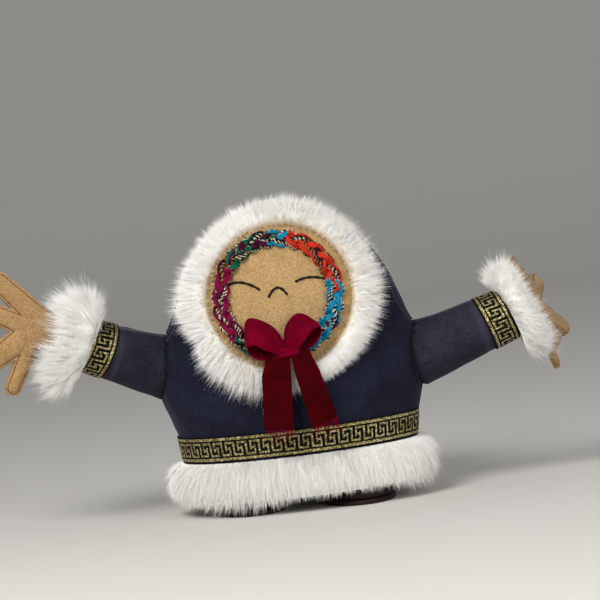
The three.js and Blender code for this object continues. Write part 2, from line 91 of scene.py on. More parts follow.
def halfSize(z, full, base, fall, roundness):
    fullest = doll["fullest"]
    if z < fullest:
        down = min(1, (fullest - z) / (fullest - doll["baseHeight"]))
        share = 1 - (1 - doll[base] / doll[full]) * down ** 2
    else:
        up = min(1, (z - fullest) / (doll["top"] - fullest))
        share = (1 - up ** doll[fall]) ** (1 / doll[roundness])
    return doll[full] / 2 * share


def halfWidth(z):
    return halfSize(z, "width", "baseWidth", "sideFall", "sideRound")


def halfFront(z):
    return halfSize(z, "depth", "baseDepth", "frontFall", "frontRound")


def halfBack(z):
    return halfSize(z, "depth", "baseDepth", "sideFall", "sideRound")


def bodyPoint(angle, z, out=0):  # angle 0 is the front
    depth = halfFront(z) if cos(angle) > 0 else halfBack(z)
    return Vector(((halfWidth(z) + out) * sin(angle), -(depth + out) * cos(angle), z))


def faceDome(radius):
    return doll["faceDome"] * (1 - (radius / doll["faceRadius"]) ** 2)


# Pieces are modelled in millimetres in the doll's, the face's or an arm's frame, and placed in metres
baseLow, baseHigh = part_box("base_panel")
baseMiddle = Matrix.Translation(((baseLow.x + baseHigh.x) / 2, (baseLow.y + baseHigh.y) / 2, 0))
dollFrame = baseMiddle @ Matrix.Scale(millimetre, 4)
faceInDoll = (Matrix.Translation(doll["faceAt"])
              @ Matrix.Rotation(radians(90 - doll["faceTilt"]), 4, "X")
              @ Matrix.Rotation(radians(doll["faceRoll"]), 4, "Z"))
faceFrame = dollFrame @ faceInDoll
for arm in arms.values():
    side, swing, lift = arm["side"], radians(arm["swing"]), radians(arm["raise"])
    along = Vector((side * cos(swing) * cos(lift), -sin(swing) * cos(lift), sin(lift)))
    front = Vector((-side * sin(swing), -cos(swing), 0))
    pivot = Vector((side * (halfWidth(arm["height"]) + armSize["outset"]), 0, arm["height"]))
    turned = Matrix((along.cross(front), along, front)).transposed().to_4x4()
    arm["up"] = -side  # the frame's x is up on the right arm and down on the left
    arm["hollow"] = pivot - Vector((0, 0, armSize["hollowDrop"]))
    arm["inDoll"] = Matrix.Translation(pivot) @ turned
    arm["frame"] = dollFrame @ arm["inDoll"]
    arm["ribbonTo"] = arm["ribbonAt"] + armSize["ribbon"]
    arm["end"] = arm["ribbonTo"] + armSize["turn"]
    arm["bend"] = arm["ribbonTo"] + armSize["wrist"]


def sleeveRadius(along, end, rise):  # rise is 1 on the upper side, which is hollowed, and -1 below
    narrow, start = armSize["cuffRadius"], armSize["seamAt"]
    under = armSize["underRadius"] + (narrow - armSize["underRadius"]) * (along - start) / (end - start)
    over = narrow + (armSize["overRadius"] - narrow) * exp((start - along) / armSize["hollowing"])
    return under + (over - under) * (1 + rise) / 2


def roundArm(turn, radius, along):
    return Vector((radius * sin(turn), along, radius * cos(turn)))


# Mesh helpers
def shapedGrid(across, along, place):  # a grid whose points are moved by place(u, v), both 0 to 1
    bm = bmesh.new()
    bmesh.ops.create_grid(bm, x_segments=across, y_segments=along, size=0.5)
    for v in bm.verts:
        v.co = place(v.co.x + 0.5, v.co.y + 0.5)
    bmesh.ops.remove_doubles(bm, verts=bm.verts, dist=0.005)
    return bm


def vertsIn(geometry):
    return [v for v in geometry if isinstance(v, bmesh.types.BMVert)]


def linked(name, data):
    made = bpy.data.objects.new(name, data)
    scene.collection.objects.link(made)
    return made


def addObject(name, data, body, nodes=()):
    made = linked(name, data)
    if body:
        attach(made, body)
    if nodes:
        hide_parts(*nodes)
    return made


def smoothMesh(name, bm, materials):
    mesh = bpy.data.meshes.new(name)
    bm.to_mesh(mesh)
    bm.free()
    mesh.shade_smooth()
    for material in materials:
        mesh.materials.append(material)
    return mesh


def finishPiece(name, bm, place, materials, body, nodes):
    bmesh.ops.transform(bm, matrix=place, verts=bm.verts)
    bmesh.ops.recalc_face_normals(bm, faces=bm.faces)
    return addObject(name, smoothMesh(name, bm, materials), body, nodes)


def sectionCurve(radius, corners):  # the small closed outline that a strand is swept with
    curve = bpy.data.curves.new("section", "CURVE")
    line = curve.splines.new("POLY")
    line.points.add(corners - 1)
    for i in range(corners):
        turn = fullTurn * i / corners
        line.points[i].co = (radius * cos(turn), radius * sin(turn), 0, 1)
    line.use_cyclic_u = True
    return linked("section", curve)


def sweptStrands(name, lines, radius, corners, materials):
    # each line is its points in metres, its shares of the radius and its material's number
    section = sectionCurve(radius, corners)
    curve = bpy.data.curves.new(name, "CURVE")
    for material in materials:
        curve.materials.append(material)
    curve.dimensions = "3D"
    curve.bevel_mode = "OBJECT"
    curve.bevel_object = section
    curve.use_fill_caps = True
    for points, radii, number in lines:
        line = curve.splines.new("POLY")
        line.points.add(len(points) - 1)
        line.points.foreach_set("co", np.column_stack((points, np.ones(len(points)))).ravel())
        line.points.foreach_set("radius", radii)
        line.material_index = number
    swept = linked(name + "_line", curve)
    graph = bpy.context.evaluated_depsgraph_get()
    mesh = bpy.data.meshes.new_from_object(swept.evaluated_get(graph))
    mesh.name = name
    mesh.shade_smooth()
    for used in (swept, section):
        data = used.data
        bpy.data.objects.remove(used)
        bpy.data.curves.remove(data)
    return mesh


# Material helpers; a colour is given as it looks on screen, 0 to 255
black, white = (0, 0, 0), (255, 255, 255)


def onScreen(red, green, blue):
    def linear(c):
        c = c / 255
        return c / 12.92 if c <= 0.04045 else ((c + 0.055) / 1.055) ** 2.4
    return (linear(red), linear(green), linear(blue), 1)


def newMaterial(name, colour, roughness, **sockets):
    made = bpy.data.materials.new(name)
    made.use_nodes = True
    shader = made.node_tree.nodes["Principled BSDF"]
    shader.inputs["Base Color"].default_value = onScreen(*colour)
    shader.inputs["Roughness"].default_value = roughness
    for socket, value in sockets.items():
        shader.inputs[socket.replace("_", " ")].default_value = value
    return made


def addNode(made, kind, inputs=(), **settings):
    new = made.node_tree.nodes.new("ShaderNode" + kind)
    for setting, value in settings.items():
        setattr(new, setting, value)
    for socket, value in dict(inputs).items():
        if isinstance(value, bpy.types.NodeSocket):
            made.node_tree.links.new(value, new.inputs[socket])
        else:
            new.inputs[socket].default_value = value
    return new


def attribute(made, name):
    return addNode(made, "Attribute", attribute_name=name).outputs["Fac"]


def grain(made, scale, detail=3, roughness=0.6):
    place = addNode(made, "TexCoord").outputs["Object"]
    inputs = {"Vector": place, "Scale": scale, "Detail": detail, "Roughness": roughness}
    return addNode(made, "TexNoise", inputs).outputs["Fac"]


def ramp(made, value, stops, kind="LINEAR"):
    node = addNode(made, "ValToRGB", {"Fac": value})
    node.color_ramp.interpolation = kind
    elements = node.color_ramp.elements
    while len(elements) < len(stops):
        elements.new(1)
    for element, (position, colour) in zip(elements, stops):
        element.position = position
    for element, (position, colour) in zip(elements, stops):
        element.color = onScreen(*colour)
    return node.outputs["Color"]


def mixed(made, share, first, second, blend="MIX"):
    first, second = (onScreen(*c) if isinstance(c, tuple) else c for c in (first, second))
    inputs = {0: share, 6: first, 7: second}
    return addNode(made, "Mix", inputs, data_type="RGBA", blend_type=blend).outputs[2]


def summed(made, first, second, operation="ADD"):
    return addNode(made, "Math", {0: first, 1: second}, operation=operation).outputs[0]


def connect(made, socket, output):
    shader = made.node_tree.nodes["Principled BSDF"]
    made.node_tree.links.new(output, shader.inputs[socket])


def addBump(made, height, strength, distance):
    bump = addNode(made, "Bump", {"Strength": strength, "Distance": distance, "Height": height})
    connect(made, "Normal", bump.outputs["Normal"])


# Materials
def velveteen(name, deep, nap, worn):
    made = newMaterial(name, deep, 0.9, Sheen_Weight=0.16, Sheen_Roughness=0.35,
                       Sheen_Tint=onScreen(170, 175, 205), Specular_IOR_Level=0.12)
    cloud = ramp(made, grain(made, 38, 5, 0.7), [(0.32, black), (0.72, white)])
    fine = ramp(made, grain(made, 620, 2, 0.5), [(0.3, (205, 205, 205)), (0.7, white)])
    pile = mixed(made, 1, mixed(made, cloud, deep, nap), fine, "MULTIPLY")
    patchy = summed(made, attribute(made, "wear"), grain(made, 260, 3, 0.7), "MULTIPLY")
    rubbed = mixed(made, patchy, pile, worn)
    # the crease attribute paints shade, near black, into the cloth along the armholes
    connect(made, "Base Color", mixed(made, attribute(made, "crease"), rubbed, (5, 5, 9)))
    addBump(made, summed(made, grain(made, 1300, 2), grain(made, 240, 3)), 0.35, 0.0003)
    return made


def felt(name, dark, middle, pale):
    made = newMaterial(name, middle, 0.95, Sheen_Weight=0.12, Sheen_Roughness=0.6, Specular_IOR_Level=0.1)
    speck = ramp(made, grain(made, 900, 4, 0.75), [(0.3, dark), (0.5, middle), (0.7, pale)])
    cloud = ramp(made, grain(made, 70, 3, 0.6), [(0.3, (236, 233, 228)), (0.7, white)])
    connect(made, "Base Color", mixed(made, 1, speck, cloud, "MULTIPLY"))
    addBump(made, grain(made, 900, 4, 0.8), 0.5, 0.0004)
    return made


def redVelvet(name, deep, lit):
    made = newMaterial(name, deep, 0.8, Sheen_Weight=0.2, Sheen_Roughness=0.25,
                       Sheen_Tint=onScreen(225, 0, 66), Specular_IOR_Level=0.03)
    pile = ramp(made, grain(made, 90, 4), [(0.3, deep), (0.7, lit)])
    weft = ramp(made, grain(made, 1400, 2), [(0.3, (200, 200, 200)), (0.7, white)])
    connect(made, "Base Color", mixed(made, 1, pile, weft, "MULTIPLY"))
    addBump(made, grain(made, 1600, 2), 0.25, 0.0002)
    return made


def speckled(name, base, roughness, flecks, stops, bump=None, **sockets):
    # flecks is what grain takes; bump is the same, then its strength and distance
    made = newMaterial(name, base, roughness, **sockets)
    connect(made, "Base Color", ramp(made, grain(made, *flecks), stops))
    if bump:
        addBump(made, grain(made, *bump[0]), *bump[1:])
    return made


bodyCloth = velveteen("navyVelveteen", (19, 21, 35), (33, 36, 54), (112, 114, 132))
# the sleeves are the body's velveteen with the nap turned another way; their lighter colours are painted
# sheen
sleeveCloth = velveteen("sleeveVelveteenPaintedSheen", (32, 31, 41), (50, 49, 62), (130, 130, 144))
faceFelt = felt("faceFelt", (132, 102, 64), (170, 138, 93), (192, 163, 118))
handFelt = felt("handFelt", (122, 92, 56), (162, 128, 84), (184, 152, 106))
redRibbon = redVelvet("redRibbon", (84, 0, 17), (122, 0, 36))
# the tails are the same red ribbon as the loops; this darker copy of its colour is painted shade
shadedTailRibbon = redVelvet("shadedTailRibbon", (52, 0, 2), (70, 0, 6))
# the speckle gives the gold its uneven tone, and its palest, near-white stop paints glints into the colour
goldThread = speckled(
    "goldThread", (150, 130, 62), 0.36, (950, 2, 0.8),
    [(0.32, (40, 34, 16)), (0.47, (108, 96, 50)), (0.58, (178, 164, 104)), (0.68, (255, 250, 222))],
    ((1200, 2, 0.8), 0.8, 0.0005), Metallic=0.65)
blackWeave = speckled(
    "blackWeave", (9, 8, 9), 0.85, (1500, 2), [(0.35, (5, 4, 5)), (0.7, (18, 16, 16))],
    ((1500, 2), 0.5, 0.0003), Specular_IOR_Level=0.1)
blackThread = speckled(
    "blackThread", (14, 12, 16), 0.8, (1500,), [(0.35, (8, 6, 10)), (0.7, (32, 27, 31))],
    ((1800,), 0.5, 0.0003), Specular_IOR_Level=0.15)
brownThread = speckled(
    "brownThread", (92, 52, 24), 0.7, (1200,), [(0.35, (70, 36, 16)), (0.7, (120, 72, 36))])
leather = speckled(
    "bootLeather", (26, 14, 12), 0.6, (160, 5, 0.7), [(0.3, (18, 9, 8)), (0.7, (38, 21, 17))],
    ((700, 3, 0.6), 0.4, 0.0003), Specular_IOR_Level=0.2)

# the third and fifth tints paint light bounced off the face's felt onto the hood fur; plainTint also scatters
# the third at random
furColours = [(255, 254, 251), (254, 252, 246), (250, 239, 217), (247, 248, 250), (240, 216, 176)]
furTints = []
for number, colour in enumerate(furColours, 1):
    hair = newMaterial(f"furTint{number}", colour, 0.5, Specular_IOR_Level=0.2)
    uneven = addNode(hair, "MapRange", {"Value": grain(hair, 300), 3: 0.45, 4: 0.7})
    connect(hair, "Roughness", uneven.outputs[0])
    furTints.append(hair)
pelt = newMaterial("furPelt", (253, 251, 245), 0.95)
addBump(pelt, grain(pelt, 700, 4), 0.6, 0.0006)
print("materials made")


# Camera, light and floor
photo = {"lens": 200, "distance": 2.0, "elevation": 3, "roll": -6, "target": (8.9, -42, 127), "nearest": 0.01}
studio = {  # in metres
    "key": {"at": (-0.5, -1.05, 0.95), "size": 0.7, "power": 18},
    "fill": {"at": (0.85, -1.0, 0.35), "size": 1.0, "power": 7},
    "aim": (0, 0, 0.09), "world": (0.72, 0.73, 0.75, 1), "worldStrength": 0.52,
    "floor": (206, 203, 197), "floorHalf": 4, "wallForward": 0.4, "wall": 4, "bend": 1.4, "bendSteps": 20,
}


def aim(made, direction, roll=0):
    made.rotation_mode = "QUATERNION"
    made.rotation_quaternion = direction.to_track_quat("-Z", "Y") @ Quaternion((0, 0, 1), radians(roll))


cameraData = bpy.data.cameras.new("camera")
cameraData.lens = photo["lens"]
cameraData.clip_start = photo["nearest"]
camera = linked("camera", cameraData)
elevation = radians(photo["elevation"])
back = Vector((0, -cos(elevation), sin(elevation)))
camera.location = dollFrame @ Vector(photo["target"]) + back * photo["distance"]
aim(camera, -back, photo["roll"])
scene.camera = camera

for name in ("key", "fill"):
    lampData = bpy.data.lights.new(name, "AREA")
    lampData.shape = "DISK"
    lampData.size = studio[name]["size"]
    lampData.energy = studio[name]["power"]
    lamp = linked(name, lampData)
    lamp.location = studio[name]["at"]
    aim(lamp, Vector(studio["aim"]) - lamp.location)
scene.world = bpy.data.worlds.new("studio")
scene.world.use_nodes = True
background = scene.world.node_tree.nodes["Background"]
background.inputs["Color"].default_value = studio["world"]
background.inputs["Strength"].default_value = studio["worldStrength"]

bm = bmesh.new()
bmesh.ops.create_grid(bm, x_segments=1, y_segments=1, size=studio["floorHalf"])
wall = [e for e in bm.edges if all(v.co.y > 0 for v in e.verts)]
for e in wall:
    bmesh.ops.translate(bm, vec=(0, -studio["wallForward"], 0), verts=e.verts)
raised = bmesh.ops.extrude_edge_only(bm, edges=wall)["geom"]
bmesh.ops.translate(bm, vec=(0, 0, studio["wall"]), verts=vertsIn(raised))
corner = [e for e in bm.edges if all(abs(v.co.z) < 1e-6 and v.co.y > 1 for v in e.verts)]
bmesh.ops.bevel(bm, geom=corner, offset=studio["bend"], offset_type="OFFSET", affect="EDGES",
                segments=studio["bendSteps"], profile=0.5, material=-1)
floorPaint = newMaterial("floorPaint", studio["floor"], 0.9, Specular_IOR_Level=0.1)
floor = linked("floor", smoothMesh("floor", bm, [floorPaint]))
print("camera, light and floor set")


# Parka body: an egg with a hollow for the face and one for each sleeve head
parka = {  # a pair that fades is a height and the stretch after it
    "around": 220, "up": 130, "baseRows": 0.08, "lowRows": 0.36, "steepest": 170,
    "foldHeight": 0.7, "foldSize": 24, "foldSquash": 0.45, "fineFold": 0.4, "fineFoldSize": 9,
    "swellRight": 5.6, "swellLeft": 3, "swellFocus": 1.5, "swellIn": (49, 27), "swellOut": (128, -36),
    "cinch": 0.8, "cinchAt": 43, "cinchWidth": 10,
    "seamForward": 16, "seamTurns": (95, 25), "seamDepth": 0.8, "seamWidth": 0.9, "narrowest": 8,
    "ridge": 0.45, "ridgeFrom": 2.4, "ridgeWidth": 1.5,
    "puckers": 15, "puckerHeight": 0.35, "puckerReach": 15, "puckerRise": 0.6, "puckerWander": 3,
    "puckerSize": 14, "lip": 2.5, "recess": 4.5,
    "openingDepth": 25, "openingRise": 12, "openingFrom": 43, "openingEdge": 5,
    "wear": 0.5, "wearIn": (56, 8), "wearOut": (172, -32), "wearWidth": 0.9,
    # the crease keys set the painted shade round the armholes
    "crease": 0.8, "creaseWidth": 1.5, "creaseFrom": -25, "creaseTo": 20,
}
faceFromDoll = faceInDoll.inverted()


def fromSideSeam(angle, z):  # the side seams come forward over the shoulders
    seam = pi / 2 - radians(parka["seamForward"]) * fade(z, *parka["seamTurns"])
    return abs(abs(angle) - seam) * max(parka["narrowest"], halfBack(z))


def parkaSkin(angle, z):  # the cloth before the hollows are pressed in
    point = bodyPoint(angle, z)
    level = min(z, parka["steepest"])
    outward = Vector((sin(angle) / halfWidth(level), -cos(angle) / halfFront(level), 0)).normalized()
    fold = noise.noise(Vector((point.x, point.y, point.z * parka["foldSquash"])) / parka["foldSize"])
    fold += parka["fineFold"] * noise.noise(point / parka["fineFoldSize"])
    bump = parka["foldHeight"] * fold
    swell = parka["swellLeft"] if angle > 0 else parka["swellRight"]
    swell *= fade(z, *parka["swellIn"]) * fade(z, *parka["swellOut"])
    bump += swell * abs(sin(angle)) ** parka["swellFocus"]
    bump -= parka["cinch"] * exp(-((z - parka["cinchAt"]) / parka["cinchWidth"]) ** 4)
    fromSeam = fromSideSeam(angle, z)
    bump -= parka["seamDepth"] * bell(fromSeam, parka["seamWidth"])
    bump += parka["ridge"] * bell(fromSeam - parka["ridgeFrom"], parka["ridgeWidth"])
    for arm in arms.values():
        away = point - arm["hollow"]
        gap = away.length - armSize["hollow"]
        if gap < parka["puckerReach"]:
            near = (1 - max(0, gap) / parka["puckerReach"]) ** 2
            wander = parka["puckerWander"] * noise.noise(away / parka["puckerSize"])
            ripple = cos(parka["puckers"] * atan2(away.z, away.y) + wander)
            bump += parka["puckerHeight"] * near * ripple + parka["puckerRise"] * near
    return point + outward * bump


def parkaPoint(u, v):
    angle = fullTurn * u - pi
    floorZ, fullest, closing, low = doll["baseHeight"], doll["fullest"], parka["baseRows"], parka["lowRows"]
    if v < closing:
        edge = bodyPoint(angle, floorZ)
        return Vector((edge.x * v / closing, edge.y * v / closing, floorZ))
    climb = (v - closing) / (1 - closing)
    if climb < low:
        z = floorZ + (fullest - floorZ) * climb / low
    else:
        z = fullest + (doll["top"] - fullest) * sin(pi / 2 * (climb - low) / (1 - low))
    point = parkaSkin(angle, z)
    onFace = faceFromDoll @ point
    radius = hypot(onFace.x, onFace.y)
    if onFace.z > -parka["openingDepth"] and radius < parka["openingFrom"] + parka["openingEdge"]:
        limit = faceDome(min(radius, doll["faceRadius"])) - parka["recess"]
        rim = fade(radius, parka["openingFrom"], parka["openingEdge"])
        onFace.z = min(onFace.z, limit + parka["openingRise"] * rim)
        point = faceInDoll @ onFace
    for arm in arms.values():
        away = point - arm["hollow"]
        over = (away.length - armSize["hollow"]) / parka["lip"]
        if over < 1:
            reach = armSize["hollow"] + parka["lip"] * (max(over, -1) + 1) ** 2 / 4
            point = arm["hollow"] + away.normalized() * reach
    return point


# stores a value from 0 to 1 at each point, used for the cloth's wear and for the painted shade in the armhole
# creases
def addWearAndShadeLayer(bm, name, amountAt):
    layer = bm.verts.layers.float.new(name)
    for v in bm.verts:
        v[layer] = min(1, max(0, amountAt(v.co)))


def bodyAngle(co):
    depth = halfFront(co.z) if co.y < 0 else halfBack(co.z)
    return atan2(co.x / max(1, halfWidth(co.z)), -co.y / max(1, depth))


def parkaWear(co):
    shown = fade(co.z, *parka["wearIn"]) * fade(co.z, *parka["wearOut"])
    fromRidge = fromSideSeam(bodyAngle(co), co.z) - parka["ridgeFrom"]
    return parka["wear"] * shown * bell(fromRidge, parka["wearWidth"])


def parkaCreaseShade(co):  # painted shade where the cloth meets a sleeve
    dark = 0
    for arm in arms.values():
        local = arm["inDoll"].inverted() @ co
        away = hypot(local.x, local.z)
        if parka["creaseFrom"] < local.y < parka["creaseTo"] and away > 1:
            rise = arm["up"] * local.x / away
            gap = away - sleeveRadius(max(local.y, armSize["seamAt"]), arm["end"], rise)
            dark = max(dark, parka["crease"] * bell(gap, parka["creaseWidth"]))
    return dark


bm = shapedGrid(parka["around"], parka["up"], parkaPoint)
addWearAndShadeLayer(bm, "wear", parkaWear)
addWearAndShadeLayer(bm, "crease", parkaCreaseShade)
parkaPiece = finishPiece("parka", bm, dollFrame, [bodyCloth], "torso",
                         ["parka_front", "parka_back", "body_stuffing"])
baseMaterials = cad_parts["base_panel"].data.materials
baseMaterials.clear()
baseMaterials.append(bodyCloth)
print("parka made")


# Sleeves: a padded tube that goes into the body's hollow, with gathers at the armhole and a seam on top
sleeve = {
    "around": 96, "along": 90, "headRows": 0.2, "endRows": 0.94, "foldHeight": 0.5, "foldSize": 10,
    "gathers": 21, "gatherWander": 4, "gatherSize": 9, "gatherReach": 11, "seamHeight": 0.8, "seamWidth": 1.1,
    "flatten": (1, -5), "headFade": 0.03, "wear": 0.8, "wearRadius": 18, "wearFrom": 4, "wearTo": -0.5,
    "cuffWear": 0.12, "cuffWearAt": 3, "cuffWearWidth": 2,
    # the crease keys set the painted shade where the sleeve leaves the body
    "crease": 0.85, "creaseOut": 0.3, "creaseWidth": 1.5, "creaseTo": 24,
}


def addSleeve(name, arm):
    end, start, shoulder = arm["end"], armSize["seamAt"], armSize["shoulder"]
    head, tail = sleeve["headRows"], sleeve["endRows"]
    firstTurn = acos(start / shoulder)
    seamTurn = arm["up"] * (pi / 2 - arm["seamForward"])

    def fromSeam(turn):
        return (turn - seamTurn + pi) % fullTurn - pi

    def sleevePoint(u, v):
        turn = fullTurn * u
        rise = arm["up"] * sin(turn)
        if v < head:
            tip = pi + (firstTurn - pi) * v / head
            radius, along = shoulder * sin(tip), shoulder * cos(tip)
            radius *= sleeveRadius(start, end, rise) / armSize["seamRadius"]
        elif v < tail:
            along = start + (end - start) * (v - head) / (tail - head)
            radius = sleeveRadius(along, end, rise)
        else:
            along = end
            radius = sleeveRadius(end, end, rise) * (1 - (v - tail) / (1 - tail))
        point = roundArm(turn, radius, along)
        if head < v < tail:
            free = fade(along - arm["ribbonAt"], *sleeve["flatten"]) * fade(v, head, sleeve["headFade"])
            wander = sleeve["gatherWander"] * noise.noise(point / sleeve["gatherSize"])
            gather = cos(sleeve["gathers"] * turn + wander) * bell(along - start, sleeve["gatherReach"])
            height = sleeve["foldHeight"] * noise.noise(point / sleeve["foldSize"])
            height += arm["gather"] * gather * eased(1 + rise)
            height += sleeve["seamHeight"] * bell(fromSeam(turn) * radius, sleeve["seamWidth"])
            point += roundArm(turn, height * free, 0)
        return point

    def sleeveWear(co):
        if not start + sleeve["wearFrom"] < co.y < arm["ribbonAt"] + sleeve["wearTo"]:
            return 0
        onSeam = sleeve["wear"] * bell(fromSeam(atan2(co.x, co.z)) * sleeve["wearRadius"], 1)
        fromCuff = co.y - arm["ribbonAt"] + sleeve["cuffWearAt"]
        return onSeam + sleeve["cuffWear"] * bell(fromCuff, sleeve["cuffWearWidth"])

    def sleeveCreaseShade(co):  # painted shade where the sleeve leaves the body
        if co.y > sleeve["creaseTo"]:
            return 0
        spot = arm["inDoll"] @ co
        skin = parkaSkin(bodyAngle(spot), spot.z)
        out = hypot(spot.x, spot.y) - hypot(skin.x, skin.y)
        return sleeve["crease"] * bell(out - sleeve["creaseOut"], sleeve["creaseWidth"])

    bm = shapedGrid(sleeve["around"], sleeve["along"], sleevePoint)
    addWearAndShadeLayer(bm, "wear", sleeveWear)
    addWearAndShadeLayer(bm, "crease", sleeveCreaseShade)
    made = finishPiece(f"{name}_sleeve_cloth", bm, arm["frame"], [sleeveCloth], f"{name}_arm",
                       [f"{name}_sleeve", f"{name}_arm_stuffing", f"{name}_shoulder_wad"])


for name, arm in arms.items():
    addSleeve(name, arm)
print("sleeves made")


# Woven ribbon: a key of black hooks on gold, between two gold lines
keyRibbon = {
    "columns": [1.75, 1.0, 1.5, 1.0, 1.75, 1.1],  # one repeat
    "hooks": [  # from the top row down
        "#.....",
        "#.###.",
        "#.#.#.",
        "#...#.",
        "#.#.#.",
        "###.#.",
        "....#.",
    ],
    "rows": [0.9, 1.5, 1.0, 1.15, 1.5, 0.8, 1.0, 0.8, 1.5, 1.15, 1.0, 1.5, 0.9],  # from the lower edge up
    "firstHook": 3, "relief": 0.14, "tuck": 0.6,
}


def addKeyRibbon(name, body, place, node, length, along):
    # along(share of the length, height, out) gives a point
    rows, widths, first = keyRibbon["rows"], keyRibbon["columns"], keyRibbon["firstHook"]
    hooks = keyRibbon["hooks"][::-1]
    wide, tall = len(widths), len(rows)
    columns = wide * round(length / sum(widths))
    heights = np.concatenate(([0], np.cumsum(rows))) / sum(rows)
    walked = np.concatenate(([0], np.cumsum(widths * (columns // wide))))
    walked /= walked[-1]
    bm = bmesh.new()
    bmesh.ops.create_grid(bm, x_segments=columns, y_segments=tall, size=0.5)
    gold = []
    for cell in bm.faces:
        middle = cell.calc_center_median()
        column = int((middle.x + 0.5) * columns)
        row = int((middle.y + 0.5) * tall)
        borderLine = row in (1, tall - 2)
        keyLine = first <= row < first + len(hooks) and hooks[row - first][column % wide] == "."
        if borderLine or keyLine:
            cell.material_index = 1
            gold.append(cell)
    out = bm.verts.layers.float.new("out")
    for v in vertsIn(bmesh.ops.extrude_face_region(bm, geom=gold)["geom"]):
        v[out] = keyRibbon["relief"]
    bmesh.ops.delete(bm, geom=gold, context="FACES")
    edges = [e for e in bm.edges if e.is_boundary and all(abs(abs(v.co.y) - 0.5) < 1e-5 for v in e.verts)]
    for v in vertsIn(bmesh.ops.extrude_edge_only(bm, edges=edges)["geom"]):
        v[out] = -keyRibbon["tuck"]
    for v in bm.verts:
        column, row = (v.co.x + 0.5) * columns, (v.co.y + 0.5) * tall
        v.co = along(float(np.interp(column, np.arange(columns + 1), walked)),
                     float(np.interp(row, np.arange(tall + 1), heights)), v[out])
    bmesh.ops.remove_doubles(bm, verts=bm.verts, dist=0.005)
    made = finishPiece(name, bm, place, [blackWeave, goldThread], body, [node])
    made.data.shade_flat()


ovalSteps = 720


def ovalByLength(z, out):  # angles round the body, and the length walked to each
    angles = np.linspace(-pi, pi, ovalSteps + 1)
    points = np.array([bodyPoint(a, z, out) for a in angles])
    walked = np.concatenate(([0], np.cumsum(np.linalg.norm(np.diff(points, axis=0), axis=1))))
    return angles, walked


hemRibbon = {"low": 34.8, "width": 16, "proud": 0.4, "tilt": 0.02, "ripple": 0.25, "ripples": 8}
hemAngles, hemWalked = ovalByLength(hemRibbon["low"] + hemRibbon["width"] / 2, 1)


def hemRibbonPoint(share, height, out):
    angle = float(np.interp(share * hemWalked[-1], hemWalked, hemAngles))
    z = hemRibbon["low"] + hemRibbon["width"] * height
    ripple = hemRibbon["ripple"] * noise.noise(Vector((sin(angle), cos(angle), 0)) * hemRibbon["ripples"])
    point = bodyPoint(angle, z, hemRibbon["proud"] + out + ripple)
    point.z += hemRibbon["tilt"] * point.x
    return point


addKeyRibbon("hem_key_ribbon", "torso", dollFrame, "hem_ribbon", hemWalked[-1], hemRibbonPoint)


def addCuffRibbon(name, arm):
    def cuffPoint(share, height, out):
        turn = fullTurn * share
        rise = arm["up"] * sin(turn)
        along = arm["ribbonAt"] + armSize["ribbon"] * height - armSize["skew"] * rise * armSize["cuffRadius"]
        return roundArm(turn, sleeveRadius(along, arm["end"], rise) + armSize["ribbonProud"] + out, along)

    girth = fullTurn * (sleeveRadius(arm["ribbonAt"] + armSize["ribbon"] / 2, arm["end"], 0) + 1)
    addKeyRibbon(f"{name}_key_ribbon", f"{name}_arm", arm["frame"], f"{name}_cuff_ribbon", girth, cuffPoint)


for name, arm in arms.items():
    addCuffRibbon(name, arm)
print("ribbons made")


# Face: a domed felt disc with stitched eyes and nose
face = {
    "rings": 40, "around": 120, "frontRows": 0.62, "edgeRows": 0.7, "felt": 1.8, "edge": 0.5,
    "uneven": 0.12, "unevenSize": 5, "thread": 0.72, "sunk": 0.6, "twists": 4, "twistDepth": 0.18,
    "stitches": {"right_eye": [(-28.4, 10.2), (-20, 10.6), (-10, 4.5)],
                 "left_eye": [(11.4, 6.3), (20.2, 7.9), (29.2, 5.8)],
                 "nose": [(-5.8, -0.9), (0.3, 4.4), (5.7, -0.8)]},
}


def facePoint(u, v):
    turn, front, rim = fullTurn * u, face["frontRows"], face["edgeRows"]
    flat = Vector((sin(turn), cos(turn), 0))
    if v < front:
        radius = doll["faceRadius"] * v / front
        height = faceDome(radius) + face["uneven"] * noise.noise(flat * radius / face["unevenSize"])
    elif v < rim:
        share = (v - front) / (rim - front)
        radius = doll["faceRadius"] + face["edge"] * sin(pi * share)
        height = -face["felt"] * share
    else:
        radius = doll["faceRadius"] * (1 - (v - rim) / (1 - rim))
        height = faceDome(radius) - face["felt"]
    return flat * radius + Vector((0, 0, height))


bm = shapedGrid(face["around"], face["rings"], facePoint)
facePiece = finishPiece("felt_face", bm, faceFrame, [faceFelt], "torso", ["face"])


def onFaceLine(points, lift, steps=30):  # a smooth line through a few points, laid on the dome
    place, fine = np.linspace(0, 1, len(points)), np.linspace(0, 1, steps)
    curve = [np.polyval(np.polyfit(place, row, len(points) - 1), fine) for row in zip(*points)]
    return [faceFrame @ Vector((x, y, faceDome(hypot(x, y)) + lift)) for x, y in zip(*curve)]


for name, points in face["stitches"].items():
    line = onFaceLine(points, face["thread"] * face["sunk"])
    turns = np.linspace(0, fullTurn * face["twists"], len(line))
    radii = 1 + face["twistDepth"] * np.cos(turns)
    radii[[0, -1]] = 0.5
    mesh = sweptStrands(f"{name}_thread", [(np.array(line), radii, 0)], face["thread"] * millimetre, 10,
                        [blackThread])
    addObject(f"{name}_thread", mesh, "torso", [f"{name}_stitch"])
print("face made")


